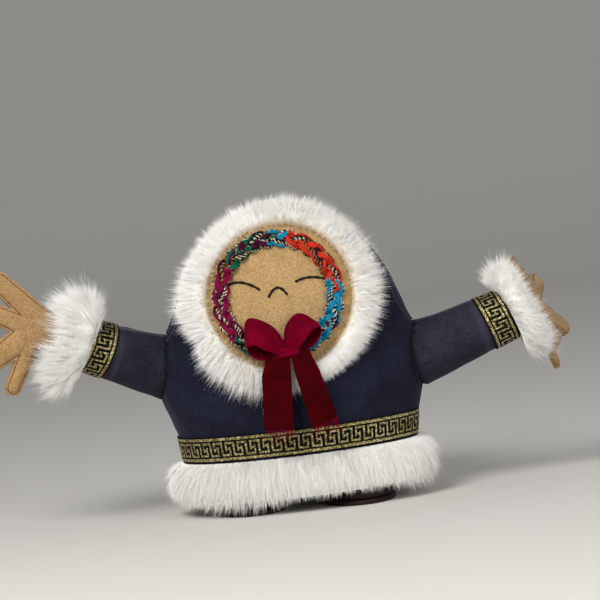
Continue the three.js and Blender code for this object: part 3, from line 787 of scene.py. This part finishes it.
# Braid: three strands of yarns side by side; a twisted yarn is a dark and a pale thread wound together
braid = {
    "radius": 34.4, "middle": 6.0, "from": 12, "to": 348, "cycles": 7.6, "sway": 3.0, "rise": 1.7,
    "steps": 600, "corners": 5, "spread": 0.8, "crown": 0.16, "wobble": 0.18, "twists": 84, "twisted": 4,
    "yarns": [  # for each strand: thickness, place across the strand, and material
        [(0.75, -2.5, 4), (1.15, -1.2, 0), (0.4, -0.4, 1), (1.1, 0.6, 0), (0.45, 1.6, 3), (0.8, 2.4, 4)],
        [(0.7, -2.6, 4), (0.45, -1.7, 3), (1.05, -0.7, 2), (1.15, 0.9, 0), (0.8, 2.3, 4)],
        [(0.9, -2.3, 0), (0.8, -0.9, 4), (0.8, 0.4, 4), (0.6, 1.4, 1), (0.95, 2.4, 2)]],
    # the threads of a twisted yarn: two shares of its thickness, where each begins, and material
    "wound": [(0.56, 0.46, 0, 1), (0.5, 0.5, pi, 3)],
}


def yarn(name, stops, fleckScale, fleckFrom, fleckColour):
    made = newMaterial(name, stops[0][1], 0.8, Specular_IOR_Level=0.12)
    wander = addNode(made, "Math", {0: grain(made, 110, 2), 1: 0.12, 2: -0.06}, operation="MULTIPLY_ADD")
    along = summed(made, attribute(made, "along"), wander.outputs[0])
    speck = ramp(made, grain(made, fleckScale, 2, 0.6), [(fleckFrom, black), (fleckFrom + 0.04, white)])
    shown = mixed(made, speck, ramp(made, along, stops, "CONSTANT"), fleckColour)
    shade = ramp(made, grain(made, 1500, 2), [(0.3, (170, 170, 170)), (0.7, white)])
    connect(made, "Base Color", mixed(made, 1, shown, shade, "MULTIPLY"))
    addBump(made, grain(made, 1300, 3, 0.7), 0.7, 0.0005)
    return made


teal, raspberry, green, plum = (8, 94, 80), (134, 8, 62), (10, 100, 74), (70, 12, 48)
sky, coral, ink, cream, gilt = (14, 142, 182), (214, 54, 32), (14, 12, 18), (226, 212, 182), (178, 136, 78)
bright = yarn("brightYarn", [
    (0, teal), (0.12, ink), (0.15, raspberry), (0.36, green), (0.4, plum), (0.425, green), (0.455, plum),
    (0.483, sky), (0.55, coral), (0.72, sky), (0.93, ink)], 420, 0.66, ink)
# the braid's own dark yarn; laid thin between the bright yarns, it is also painted shade in the gaps between
# them
dark = yarn("darkYarn", [(0, ink), (0.2, plum), (0.3, ink), (0.62, plum), (0.7, ink)], 900, 0.62, plum)
second = yarn("secondYarn", [
    (0, ink), (0.08, teal), (0.15, raspberry), (0.24, plum), (0.28, raspberry), (0.35, plum), (0.4, green),
    (0.46, ink), (0.48, teal), (0.54, coral), (0.63, plum), (0.68, coral), (0.76, sky), (0.84, plum),
    (0.88, sky)], 700, 0.58, ink)
pale = yarn("paleYarn", [(0, cream), (0.3, gilt), (0.38, cream), (0.6, gilt), (0.7, cream)], 800, 0.6, gilt)

lines = []
share = np.linspace(0, 1, braid["steps"])
turns = np.radians(braid["from"] + (braid["to"] - braid["from"]) * share)
for strand, yarns in enumerate(braid["yarns"]):
    phase = fullTurn * (braid["cycles"] * share + strand / 3)
    for thick, across, number in yarns:
        wobble = braid["wobble"] * np.sin(23 * turns + 5 * across)
        reach = braid["radius"] + braid["sway"] * np.sin(phase) + across * braid["spread"] + wobble
        height = braid["middle"] + braid["rise"] * np.sin(2 * phase) - braid["crown"] * across ** 2 + wobble
        ragged = np.sin(57 * turns + 9 * across) * np.sin(83 * turns + 4 * across)
        twist = fullTurn * (braid["twists"] * share + across + 0.3 * ragged)
        threads = braid["wound"] if number == braid["twisted"] else [(1, 0, 0, number)]
        for radius, away, begin, material in threads:
            outward = reach + thick * away * np.cos(twist + begin)
            upward = height + thick * away * np.sin(twist + begin)
            points = np.column_stack((-outward * np.sin(turns), -outward * np.cos(turns), upward))
            radii = thick * radius * (1 + 0.1 * np.sin(31 * turns + across) + (away > 0) * 0.45 * ragged)
            radii[[0, -1]] *= 0.6
            lines.append((np.array([faceFrame @ Vector(p) for p in points]), radii, material))
braidMesh = sweptStrands("yarn_braid", lines, millimetre, braid["corners"], [bright, dark, second, pale])
spots = np.zeros(len(braidMesh.vertices) * 3, np.float32)
braidMesh.vertices.foreach_get("co", spots)
spots = np.vstack((spots.reshape(-1, 3).T, np.ones(len(braidMesh.vertices))))
inFace = np.array(faceFrame.inverted()) @ spots
around = (np.arctan2(-inFace[0], -inFace[1]) / fullTurn) % 1
braidMesh.attributes.new("along", "FLOAT", "POINT").data.foreach_set("value", around.astype(np.float32))
addObject("yarn_braid", braidMesh, "torso", ["face_braid"])
print("braid made")


# Bow: a gathered knot, two open loops and two hanging tails
bow = {
    "knotAt": (0.4, -35.7), "knotHeight": 13.0, "knot": (10.5, 3.6, 4.8), "width": 18, "cloth": 0.5,
    "creases": 7, "crease": 0.12, "pinch": 0.12, "pinchWidth": 0.35, "foot": (-2.29, -63.49, 92.5),
    "loopRest": (10.9, 4.2), "loopWidth": (0.5, 0.58), "loopGather": 0.5, "loopGathers": 22,
    "loopRound": 0.06,
    "loops": {
        "right": {"angle": 146, "length": 28, "depth": 7.5, "tilt": 38, "skew": -0.15, "flat": 0.058},
        "left": {"angle": 46, "length": 25.5, "depth": 6.5, "tilt": -40, "skew": 0, "flat": 0.054},
    },
    "tails": {
        "right": {"top": (-11.5, 1.8), "flare": (-16.2, 1.4), "end": (-17.9, -0.4), "length": (39.4, 40),
                  "bend": 1.2, "seed": 11},
        "left": {"top": (2.4, 13), "flare": (3.8, 18.4), "end": (10.8, 26.2), "length": (42, 36.3),
                 "bend": -1.4, "seed": 12},
    },
    "flareAt": 0.3, "tuck": 6, "tailGather": 0.8,
    "fray": {"threads": 52, "long": 21, "longDrop": (4, 9.5), "drop": (1.5, 4), "sway": 0.28,
             "radius": 0.0002},
}


def knotPoint(u, v):
    turn, up = fullTurn * u, pi * (v - 0.5)
    wide, tall, deep = bow["knot"]
    crease = 1 + bow["crease"] * sin(bow["creases"] * turn + 1.5 * sin(2 * up)) * cos(up)
    pinch = 1 - bow["pinch"] * bell(up, bow["pinchWidth"])
    point = Vector((wide * sin(up), tall * cos(up) * cos(turn), deep * cos(up) * sin(turn)))
    point.y *= crease * pinch
    point.z *= crease
    return point + Vector((*bow["knotAt"], bow["knotHeight"]))


bm = shapedGrid(48, 32, knotPoint)
finishPiece("ribbon_knot", bm, faceFrame, [redRibbon], "torso", ["bow_knot"])


def thickened(bm, thickness):
    bmesh.ops.recalc_face_normals(bm, faces=bm.faces)
    bmesh.ops.solidify(bm, geom=bm.faces, thickness=thickness)
    return bm


def addLoop(name, loop):
    direction = Vector((cos(radians(loop["angle"])), sin(radians(loop["angle"])), 0))
    sideways = Vector((-direction.y, direction.x, 0))
    tilt = Quaternion(direction, radians(loop["tilt"]))
    (rest, lifted), (narrow, widening) = bow["loopRest"], bow["loopWidth"]

    def loopPoint(u, v):
        turn = fullTurn * (0.03 + 0.94 * u)
        across = v - 0.5
        share = (1 - cos(turn)) / 2
        lift = loop["depth"] * sin(turn) * sin(turn / 2)
        wide = bow["width"] * (narrow + widening * eased(share / 0.55))
        gathers = bow["loopGather"] * cos(across * bow["loopGathers"]) * (1 - eased(share / 0.6))
        local = tilt @ (sideways * (across * wide) + Vector((0, 0, lift + gathers)))
        slant = 2 * loop["skew"] * across - bow["loopRound"] * (2 * across) ** 4
        reach = loop["length"] * share * (1 + slant * share)
        return Vector((*bow["knotAt"], rest + lifted * eased(share))) + direction * reach + local

    bm = thickened(shapedGrid(56, 20, loopPoint), bow["cloth"])
    made = finishPiece(f"ribbon_{name}_loop", bm, faceFrame, [redRibbon], "torso",
                       [f"bow_{name}_loop"])


for name, loop in bow["loops"].items():
    addLoop(name, loop)
tailFrame = dollFrame @ Matrix.Translation(bow["foot"])


def addTail(name, tail):
    def tailPoint(u, down):
        left, right = (float(np.interp(down, (0, bow["flareAt"], 1), edge))
                       for edge in zip(tail["top"], tail["flare"], tail["end"]))
        reach = tail["length"][0] + (tail["length"][1] - tail["length"][0]) * u
        wave = tail["bend"] * sin(3.2 * down + 1.1 * u) * down
        wave += bow["tailGather"] * sin(u * 9) * (1 - eased(down / 0.35))
        return Vector((left + (right - left) * u, -0.6 + wave, -reach * down + bow["tuck"] * (1 - down)))

    bm = thickened(shapedGrid(24, 44, tailPoint), bow["cloth"])
    made = finishPiece(f"ribbon_{name}_tail", bm, tailFrame, [shadedTailRibbon], f"{name}_tail",
                       [f"bow_{name}_tail"])
    rng = np.random.default_rng(tail["seed"])
    fraying, threads = bow["fray"], []
    for k in range(fraying["threads"]):
        start = tailPoint(rng.random() ** 0.6, 0.985)
        drop = rng.uniform(*fraying["longDrop" if k < fraying["long"] else "drop"])
        sway = rng.normal(0, fraying["sway"], 2)
        fall = Vector((sway[0] * drop, sway[1] * drop * 0.4, -drop))
        steps = [tailFrame @ (start + fall * t) for t in (0, 0.35, 0.7, 1)]
        threads.append((np.array(steps), [1, 1, 0.9, 0.5], 0))
    mesh = sweptStrands(f"ribbon_{name}_fray", threads, fraying["radius"], 5, [redRibbon])
    fray = addObject(f"ribbon_{name}_fray", mesh, f"{name}_tail")


for name, tail in bow["tails"].items():
    addTail(name, tail)
print("bow made")


# Hands: two felt layers sewn together inside the edge, bent at the wrist
hand = {
    "palm": 19, "palmEdge": 8, "wrist": 11.5, "wristFrom": -15, "wristTo": 2, "tipRound": 0.85,
    "digits": [  # angle up from the hand's axis, reach, half width at the palm and at the tip, shift up
        (48, 42, 7.6, 6.4, 9), (29, 39, 6.9, 5.8, 1.5), (-28, 38, 8.6, 6.9, 0), (-61, 36, 5.8, 5.0, -2)],
    "puff": [(0, 1.25), (1.5, 0.85), (2.7, 1.75), (4.1, 2.3)],  # distance in from the edge, and height
    "inside": (0.1, 0.12), "uneven": 0.22, "unevenSize": 7, "rows": (-12, 60, 2.5), "columns": (-42, 43, 3),
    "bendHalf": 5, "twistOver": 30, "upperCurl": (4, 22), "lowerCurl": (-27, -10), "curlAlong": (10, 24),
    "turn": 0.55, "turnFrom": 24, "turnAcross": (-26, -8), "turnAlong": (40, -10),
    "seamInset": 1.6, "seamFrom": 6, "seamHeight": 1.0, "stitch": 1.2, "thread": 0.3,
}


def crossing(a, b, c, d):
    first, second = b - a, d - c
    share = ((c.x - a.x) * second.y - (c.y - a.y) * second.x) / (first.x * second.y - first.y * second.x)
    return a + first * share


def handOutline(arm, inset):
    up = arm["up"]

    def towards(angle):
        turn = radians(angle)
        return Vector((up * sin(turn), cos(turn)))

    sides = []
    for (angle, reach, wide, narrow, shift), more in zip(hand["digits"], arm["reach"]):
        axis = towards(angle + arm["droop"])
        leftward = towards(angle + arm["droop"] + 90)
        palm = Vector((0, hand["palm"])) + leftward * shift
        tipAt = palm + axis * (reach + more - narrow)
        edge = palm + axis * hand["palmEdge"]
        upper = (edge + leftward * (wide - inset), tipAt + leftward * (narrow - inset))
        lower = (edge - leftward * (wide - inset), tipAt - leftward * (narrow - inset))
        tip = axis * hand["tipRound"]
        arc = []
        for turn in np.radians(range(0, 181, 15)):
            arc.append(tipAt + (leftward * cos(turn) + tip * sin(turn)) * (narrow - inset))
        sides.append((upper, lower, arc))
    half, wristFrom, wristTo = up * (hand["wrist"] - inset), hand["wristFrom"], hand["wristTo"]
    points = [Vector((half, wristFrom)), Vector((half, wristTo)), sides[0][0][0]]
    for i, (upper, lower, arc) in enumerate(sides):
        points += arc
        last = i + 1 == len(sides)
        points.append(lower[0] if last else crossing(*lower, *sides[i + 1][0]))
    return points + [Vector((-half, wristTo)), Vector((-half, wristFrom))]


def bentHand(arm, point):  # the flat hand, bent at the wrist
    above, half = arm["up"] * point.x, hand["bendHalf"]
    flex = radians(arm["flex"] + arm["twist"] * eased(-above / hand["twistOver"]))
    curled = arm["cup"][0] * fade(above, *hand["upperCurl"]) + arm["cup"][1] * fade(above, *hand["lowerCurl"])
    y, z = point.y, point.z - curled * fade(point.y, *hand["curlAlong"])
    if arm["twist"]:  # the lowest finger also turns about its own length
        turned = fade(above, *hand["turnAcross"]) * fade(y, *hand["turnAlong"])
        z += hand["turn"] * (y - hand["turnFrom"]) * turned
    if y > -half and abs(flex) > 1e-6:
        turn = flex * min(1, (y + half) / (2 * half))
        curve = 2 * half / flex
        beyond = max(0, y - half)
        along = -half + curve * sin(turn) + beyond * cos(turn) - z * sin(turn)
        outward = curve * (1 - cos(turn)) + beyond * sin(turn) + z * cos(turn)
        y, z = along, outward
    return Vector((point.x, y + arm["bend"], z))


def handLayer(arm, facing):
    bm = bmesh.new()
    loops = []
    for inset, height in [*hand["puff"], hand["inside"]]:
        loops.append([bm.verts.new((p.x, p.y, facing * height)) for p in handOutline(arm, inset)])
    under = loops.pop()
    for low, high in zip([under] + loops, loops):
        for i in range(len(low)):
            j = (i + 1) % len(low)
            bm.faces.new((low[i], low[j], high[j], high[i]))
    for loop in (loops[-1], under):
        edges = [bm.edges.get((loop[i], loop[i - 1])) for i in range(len(loop))]
        bmesh.ops.triangle_fill(bm, use_beauty=True, edges=edges)
    for normal, cuts in ((Vector((0, 1, 0)), hand["rows"]), (Vector((1, 0, 0)), hand["columns"])):
        for cut in np.arange(*cuts):
            bmesh.ops.bisect_plane(bm, geom=bm.verts[:] + bm.edges[:] + bm.faces[:],
                                   plane_co=normal * float(cut), plane_no=normal)
    for v in bm.verts:
        if abs(v.co.z) > 0.5:
            spot = Vector((v.co.x, v.co.y, hand["unevenSize"] * facing)) / hand["unevenSize"]
            v.co.z += hand["uneven"] * noise.noise(spot)
        v.co = bentHand(arm, v.co)
    return bm


def handSeam(arm, facing):
    outline = handOutline(arm, hand["seamInset"])
    fine = []
    for a, b in zip(outline, outline[1:]):
        steps = max(1, int((b - a).length / hand["stitch"]))
        fine += [a.lerp(b, i / steps) for i in range(steps)]
    return np.array([arm["frame"] @ bentHand(arm, Vector((p.x, p.y, facing * hand["seamHeight"])))
                     for p in fine if p.y > hand["seamFrom"]])


def addHand(name, arm):
    for layer, facing in (("front", 1), ("back", -1)):
        bm = handLayer(arm, facing)
        made = finishPiece(f"{name}_felt_hand_{layer}", bm, arm["frame"], [handFelt], None,
                           [f"{name}_hand_{layer}", f"{name}_hand_stuffing", f"{name}_wrist_tab"])
        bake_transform(made)
        line = handSeam(arm, facing)
        radii = 1 + 0.25 * np.cos(pi * np.arange(len(line)))
        mesh = sweptStrands(f"{name}_hand_{layer}_seam", [(line, radii, 0)], hand["thread"] * millimetre, 6,
                            [brownThread])
        addObject(f"{name}_hand_{layer}_seam", mesh, f"{name}_hand")


for name, arm in arms.items():
    addHand(name, arm)
print("hands made")


# Boots: a rounded leather upper on a sole
boot = {
    "width": 44, "length": 64, "spread": 66, "setBack": -10, "top": 17.6, "sole": 3, "inset": 1.2,
    "baseRows": 0.15, "clear": 0.4, "lower": 0.6, "toeFall": 0.12, "wrinkle": 0.012,
    "edge": [(0, 0), (0.97, 0), (1, 0.5), (1.0, 2.2), (0.985, 2.9), (0, 3)],  # the sole's outline, and height
}


def addBoot(name, side):
    middle = Vector((side * boot["spread"] / 2, boot["setBack"], 0))

    def oval(turn, size, inset, z):
        wide, long = boot["width"] / 2 - inset, boot["length"] / 2 - inset
        return middle + Vector((size * wide * sin(turn), -size * long * cos(turn), z))

    def upperPoint(u, v):
        turn = fullTurn * u
        if v < boot["baseRows"]:
            size, height = v / boot["baseRows"], 0
        else:
            height = (v - boot["baseRows"]) / (1 - boot["baseRows"])
            size = (1 - height ** 3) ** (1 / 2.2) * (1 - 0.04 * (1 - height) ** 4)
        fall = 1 - boot["toeFall"] * eased(cos(turn))
        z = boot["sole"] + boot["clear"] + (boot["top"] - boot["sole"] - boot["lower"]) * height * fall
        wrinkle = noise.noise(Vector((6 * sin(turn), 6 * cos(turn), 5 * height)))
        return oval(turn, size * (1 + boot["wrinkle"] * wrinkle), boot["inset"], z)

    def solePoint(u, v):
        steps = np.linspace(0, 1, len(boot["edge"]))
        size, z = (float(np.interp(v, steps, row)) for row in zip(*boot["edge"]))
        return oval(fullTurn * u, size, 0, z)

    pieces = (("upper", 32, upperPoint, "boot"), ("tread", 20, solePoint, "boot_sole"))
    for piece, rows, place, node in pieces:
        finishPiece(f"{name}_boot_{piece}", shapedGrid(72, rows, place), dollFrame, [leather], "torso",
                    [f"{name}_{node}"])


addBoot("right", -1)
addBoot("left", 1)
print("boots made")


# Fur: a pelt ring under many tapered hairs in pointed tufts, with a few longer guard hairs and wisps
growth = {  # the first four are shares of the length
    "plain": (0.55, 1.0), "guard": (1.0, 1.45), "wisp": (1.25, 1.75), "tuft": (0.78, 1.12),
    "thickness": (0.7, 1.3), "wispThickness": 0.6, "taper": (1, 0.8, 0.1), "steps": (0, 0.55, 1),
    "pull": (0.6, 1.1), "loosePull": 0.2, "flowSize": 11, "flowSeed": 1, "peltShare": 0.96,
}
noise.seed_set(growth["flowSeed"])  # noise_vector would take its seed from the clock


def unit(vectors):
    return vectors / np.linalg.norm(vectors, axis=1)[:, None]


def growFur(name, body, place, ring, fur):  # degrees go round the pelt's section, share round its ring
    rng = np.random.default_rng(fur["seed"])
    count = fur["hairs"]
    share = rng.random(count)
    degrees = fur["from"] + (fur["to"] - fur["from"]) * rng.random(count)
    centre, out, axis = ring(share)
    outward, onward = np.cos(np.radians(degrees))[:, None], np.sin(np.radians(degrees))[:, None]
    root = centre + out * fur["deep"] * outward + axis * fur["tall"] * onward
    normal = unit(out * outward / fur["deep"] + axis * onward / fur["tall"])
    tuftCount = count // fur["tuft"]
    tufts = rng.choice(count, tuftCount, replace=False)
    tree = KDTree(tuftCount)
    for k, i in enumerate(tufts):
        tree.insert(root[i], k)
    tree.balance()
    mine = np.array([tree.find(p)[1] for p in root])
    flow = np.array([noise.noise_vector(Vector(root[i]) / growth["flowSize"]) for i in tufts]) * fur["flow"]
    lean = (flow + rng.normal(0, fur["lean"], (tuftCount, 3)))[mine] + rng.normal(0, fur["stray"], (count, 3))
    combOut, combAxis = fur["comb"](degrees, share)
    comb = unit(out * combOut[:, None] + axis * combAxis[:, None])
    start = unit(normal * fur["lift"] + comb + lean * 0.5)
    end = unit(comb + lean + np.array(fur["droop"]))
    guard = rng.random(count) < fur["guard"]
    wisp = rng.random(count) < fur["wisp"]
    length = np.where(guard, rng.uniform(*growth["guard"], count), rng.uniform(*growth["plain"], count))
    length = np.where(wisp, rng.uniform(*growth["wisp"], count), length)
    length *= fur["length"](degrees, share) * rng.uniform(*growth["tuft"], tuftCount)[mine]
    pull = np.where(guard | wisp, growth["loosePull"], fur["pull"]) * rng.uniform(*growth["pull"], count)
    lead = tufts[mine]

    def grownTo(hairs, t):
        bent = start[hairs] * t + (end[hairs] - start[hairs]) * t * t / 2
        return root[hairs] + length[:, None] * bent

    grown = []
    for t in growth["steps"]:
        own = grownTo(np.arange(count), t)
        grown.append(own + pull[:, None] * t ** 1.4 * (grownTo(lead, t) - own))
    if "press" in fur:
        grown = [fur["press"](p) for p in grown]
    turnOf, moveOf = np.array(place.to_3x3()), np.array(place.translation)
    grown = np.stack([p @ turnOf.T + moveOf for p in grown], axis=1)
    thickness = rng.uniform(*growth["thickness"], count) * np.where(wisp, growth["wispThickness"], 1)
    radii = np.array(growth["taper"]) * thickness[:, None]
    tint = fur["tint"](degrees, share, rng)
    sector = (share * fur["pieces"]).astype(int)
    for k in range(fur["pieces"]):
        hairs = [(grown[i], radii[i], int(tint[i])) for i in np.flatnonzero(sector == k)]
        mesh = sweptStrands(f"{name}_hair_{k + 1}", hairs, fur["hair"] * millimetre, 3, furTints)
        addObject(f"{name}_hair_{k + 1}", mesh, body)

    def peltPoint(u, v):
        middle, outward, along = (a[0] for a in ring(np.array([u % 1])))
        deep, tall = fur["deep"] * growth["peltShare"], fur["tall"] * growth["peltShare"]
        return Vector(middle + outward * deep * cos(fullTurn * v) + along * tall * sin(fullTurn * v))

    finishPiece(f"{name}_pelt", shapedGrid(120, 20, peltPoint), place, [pelt], body, [name])


def between(value, low, high):
    return np.clip((value - low) / (high - low), 0, 1)


def plainTint(degrees, share, rng):
    return rng.choice(4, len(share), p=(0.6, 0.28, 0.05, 0.07))


def hoodTint(degrees, share, rng):  # warmer towards the face, and cream on the hairs lying on the felt: painted light bounced off the felt
    warm = rng.random(len(share)) < hoodFur["warmShare"] * between(degrees, *hoodFur["warmOver"])
    return np.where(inwardHair(degrees, share), 4, np.where(warm, 2, plainTint(degrees, share, rng)))


def hoodRing(share):
    turn = fullTurn * share
    out = np.column_stack((np.sin(turn), np.cos(turn), 0 * turn))
    axis = np.tile((0.0, 0.0, 1.0), (len(turn), 1))
    radius = np.interp(share, *zip(*hoodFur["radius"]))
    return out * radius[:, None] + axis * hoodFur["height"], out, axis


def behindTails(points):  # the tails press the fur under the bow back
    turnOf, moveOf = np.array(faceInDoll.to_3x3()), np.array(faceInDoll.translation)
    spot = points @ turnOf.T + moveOf
    first, last = hoodFur["tailsAcross"]
    under = (spot[:, 0] > first) & (spot[:, 0] < last) & (spot[:, 2] < hoodFur["tailsTop"])
    spot[:, 1] = np.where(under, np.maximum(spot[:, 1], hoodFur["tailsBack"]), spot[:, 1])
    return (spot - moveOf) @ turnOf


def inwardHair(degrees, share):  # over half of the hairs at the inner rim, which lie on the felt
    return (degrees > hoodFur["rim"]) & (np.modf(share * hoodFur["scatter"])[0] < hoodFur["rimShare"])


def hoodComb(degrees, share):
    rim = between(degrees, *hoodFur["combOver"])
    inward = inwardHair(degrees, share)
    return np.where(inward, -1, 1 - 0.5 * rim), np.where(inward, 0.3, 0.06 + 0.5 * rim)


def hoodLength(degrees, share):  # longest under the chin, shortest beside it on the left
    outer = np.interp(share, *zip(*hoodFur["outer"]))
    outer = outer + hoodFur["crest"] * np.clip(np.sin(np.radians(degrees)), 0, 1)
    front = np.maximum(outer, hoodFur["shortest"])
    front *= 1 - hoodFur["rimCut"] * between(degrees, *hoodFur["rimCutOver"])
    return np.where(inwardHair(degrees, share), np.interp(share, *zip(*hoodFur["inner"])), front)


hoodFur = {  # radius, outer and inner go clockwise from the top of the ring, as seen from the front
    "seed": 3, "hairs": 52400, "pieces": 4, "from": -50, "to": 164, "deep": 6.0, "tall": 8.8, "tuft": 26,
    "flow": 0.18, "lean": 0.1, "stray": 0.08, "guard": 0.15, "wisp": 0.04, "lift": 0.25, "pull": 0.45,
    "droop": (0, -0.04, -0.04), "height": -4.0, "warmShare": 0.8, "warmOver": (105, 150),
    "rim": 128, "rimShare": 0.6, "scatter": 7919, "combOver": (108, 138), "crest": 2, "shortest": 3.4,
    "rimCut": 0.4, "rimCutOver": (110, 140), "tailsAcross": (-24, 28), "tailsTop": 100, "tailsBack": -61.5,
    "radius": [(0, 48), (0.1, 49.4), (0.2, 50.2), (0.45, 50.2), (0.55, 48.8), (0.69, 47.4), (0.76, 48),
               (0.88, 46.8), (0.95, 47.4), (1, 48)],
    "outer": [(0, 5.8), (0.08, 6.4), (0.16, 7.2), (0.25, 8.3), (0.33, 5.8), (0.38, 4), (0.42, 2.8),
              (0.45, 2.2), (0.48, 4), (0.54, 10), (0.58, 9.6), (0.63, 10.2), (0.66, 8.8), (0.69, 5.6),
              (0.75, 9.8), (0.8, 7.8), (0.87, 5.2), (1, 5.8)],
    "inner": [(0, 2.8), (0.2, 2.0), (0.4, 2.0), (0.55, 2.8), (0.65, 3), (0.8, 3), (1, 2.8)],
    "hair": 0.066, "comb": hoodComb, "length": hoodLength, "tint": hoodTint, "press": behindTails,
}
growFur("hood_fur", "torso", faceFrame, hoodRing, hoodFur)


def hemRing(share):
    angles, walked = ovalByLength(hemFur["level"], 0)
    turn = np.interp(share * walked[-1], walked, angles)
    wide, deep = halfWidth(hemFur["level"]), halfFront(hemFur["level"])
    height = hemFur["height"] + hemRibbon["tilt"] * wide * np.sin(turn)
    spot = np.column_stack((wide * np.sin(turn), -deep * np.cos(turn), height))
    out = unit(np.column_stack((np.sin(turn) / wide, -np.cos(turn) / deep, 0 * turn)))
    return spot + out * hemFur["proud"], out, np.tile((0.0, 0.0, 1.0), (len(turn), 1))


def hemComb(degrees, share):
    upper = between(degrees, *hemFur["combOver"])
    return 0.38 + 0.5 * upper, -1 + 0.7 * upper


def hemLength(degrees, share):  # shorter between and over the boots, which show
    low = np.interp(share, *zip(*hemFur["low"]))
    side = low + (hemFur["side"] - low) * between(degrees, *hemFur["sideOver"])
    return side - hemFur["topCut"] * between(degrees, *hemFur["topCutOver"])


def aboveFloor(points):
    points[:, 2] = np.maximum(points[:, 2], hemFur["offFloor"])
    return points


hemFur = {  # low goes round from the back, past the doll's right, to the front at a half
    "seed": 5, "hairs": 38800, "pieces": 3, "from": -62, "to": 118, "deep": 7.0, "tall": 12.8, "tuft": 26,
    "flow": 0.22, "lean": 0.11, "stray": 0.09, "guard": 0.14, "wisp": 0.04, "lift": 0.3, "pull": 0.38,
    "droop": (0, 0, -0.35), "level": 21, "height": 21.3, "proud": 2.6, "combOver": (20, 95),
    "side": 11, "sideOver": (-40, 30), "topCut": 2.5, "topCutOver": (50, 100), "offFloor": 0.4,
    "low": [(0, 7), (0.2, 4), (0.27, 3), (0.33, 5), (0.38, 8.5), (0.43, 8), (0.47, 6), (0.5, 4.5), (0.56, 4),
            (0.64, 4.5), (0.7, 7), (0.75, 6.5), (0.8, 6), (1, 7)],
    "hair": 0.068, "comb": hemComb, "length": hemLength, "tint": plainTint, "press": aboveFloor,
}
growFur("hem_fur", "torso", dollFrame, hemRing, hemFur)

cuffFur = {
    "hairs": 13400, "pieces": 1, "from": -130, "to": 165, "deep": 5.6, "tall": 6.4, "tuft": 26,
    "flow": 0.24, "lean": 0.12, "stray": 0.1, "guard": 0.15, "wisp": 0.04, "lift": 0.3, "pull": 0.45,
    "droop": (0, 0, 0), "hair": 0.074, "tint": plainTint, "radius": 20.6, "beyond": 6.6,
}
cuffHair = {"right": {"over": 13, "under": 14, "hand": 15.5, "rise": 0, "back": 0.2, "seed": 7},
            "left": {"over": 9.5, "under": 10, "hand": 6.5, "rise": -1.5, "back": 0.5, "seed": 8}}


def addCuffFur(name, arm, most):
    def cuffRing(share):
        turn = fullTurn * share
        out = np.column_stack((np.sin(turn), 0 * turn, np.cos(turn)))
        axis = np.tile((0.0, 1.0, 0.0), (len(turn), 1))
        leaning = arm["ribbonTo"] + cuffFur["beyond"] - armSize["skew"] * risen(share) * cuffFur["radius"]
        return out * cuffFur["radius"] + axis * leaning[:, None], out, axis

    def risen(share):
        return arm["up"] * np.sin(fullTurn * share)

    def cuffLength(degrees, share):
        rise = risen(share)
        around = most["under"] + (most["over"] - most["under"]) * (1 + rise) / 2
        overHand = between(degrees, 20, 80)
        longest = around * (1 - overHand) + (most["hand"] + most["rise"] * rise) * overHand
        return longest * (0.75 + 0.25 * between(degrees, -100, -20))

    def cuffComb(degrees, share):  # off the ribbon, except along the top
        rise = np.clip(risen(share), 0, 1)
        behind, ahead = between(degrees, -90, 0), between(degrees, 0, 90)
        outward = 1 - 0.45 * behind - 0.55 * ahead - 0.2 * between(degrees, 90, 150)
        onward = 0.45 - (0.55 + most["back"]) * rise + (0.3 + 0.5 * rise) * behind + 0.25 * ahead
        return outward, onward

    growFur(f"{name}_cuff_fur", f"{name}_arm", arm["frame"], cuffRing,
            {**cuffFur, "length": cuffLength, "comb": cuffComb, "seed": most["seed"]})


for name, arm in arms.items():
    addCuffFur(name, arm, cuffHair[name])
print("fur grown")
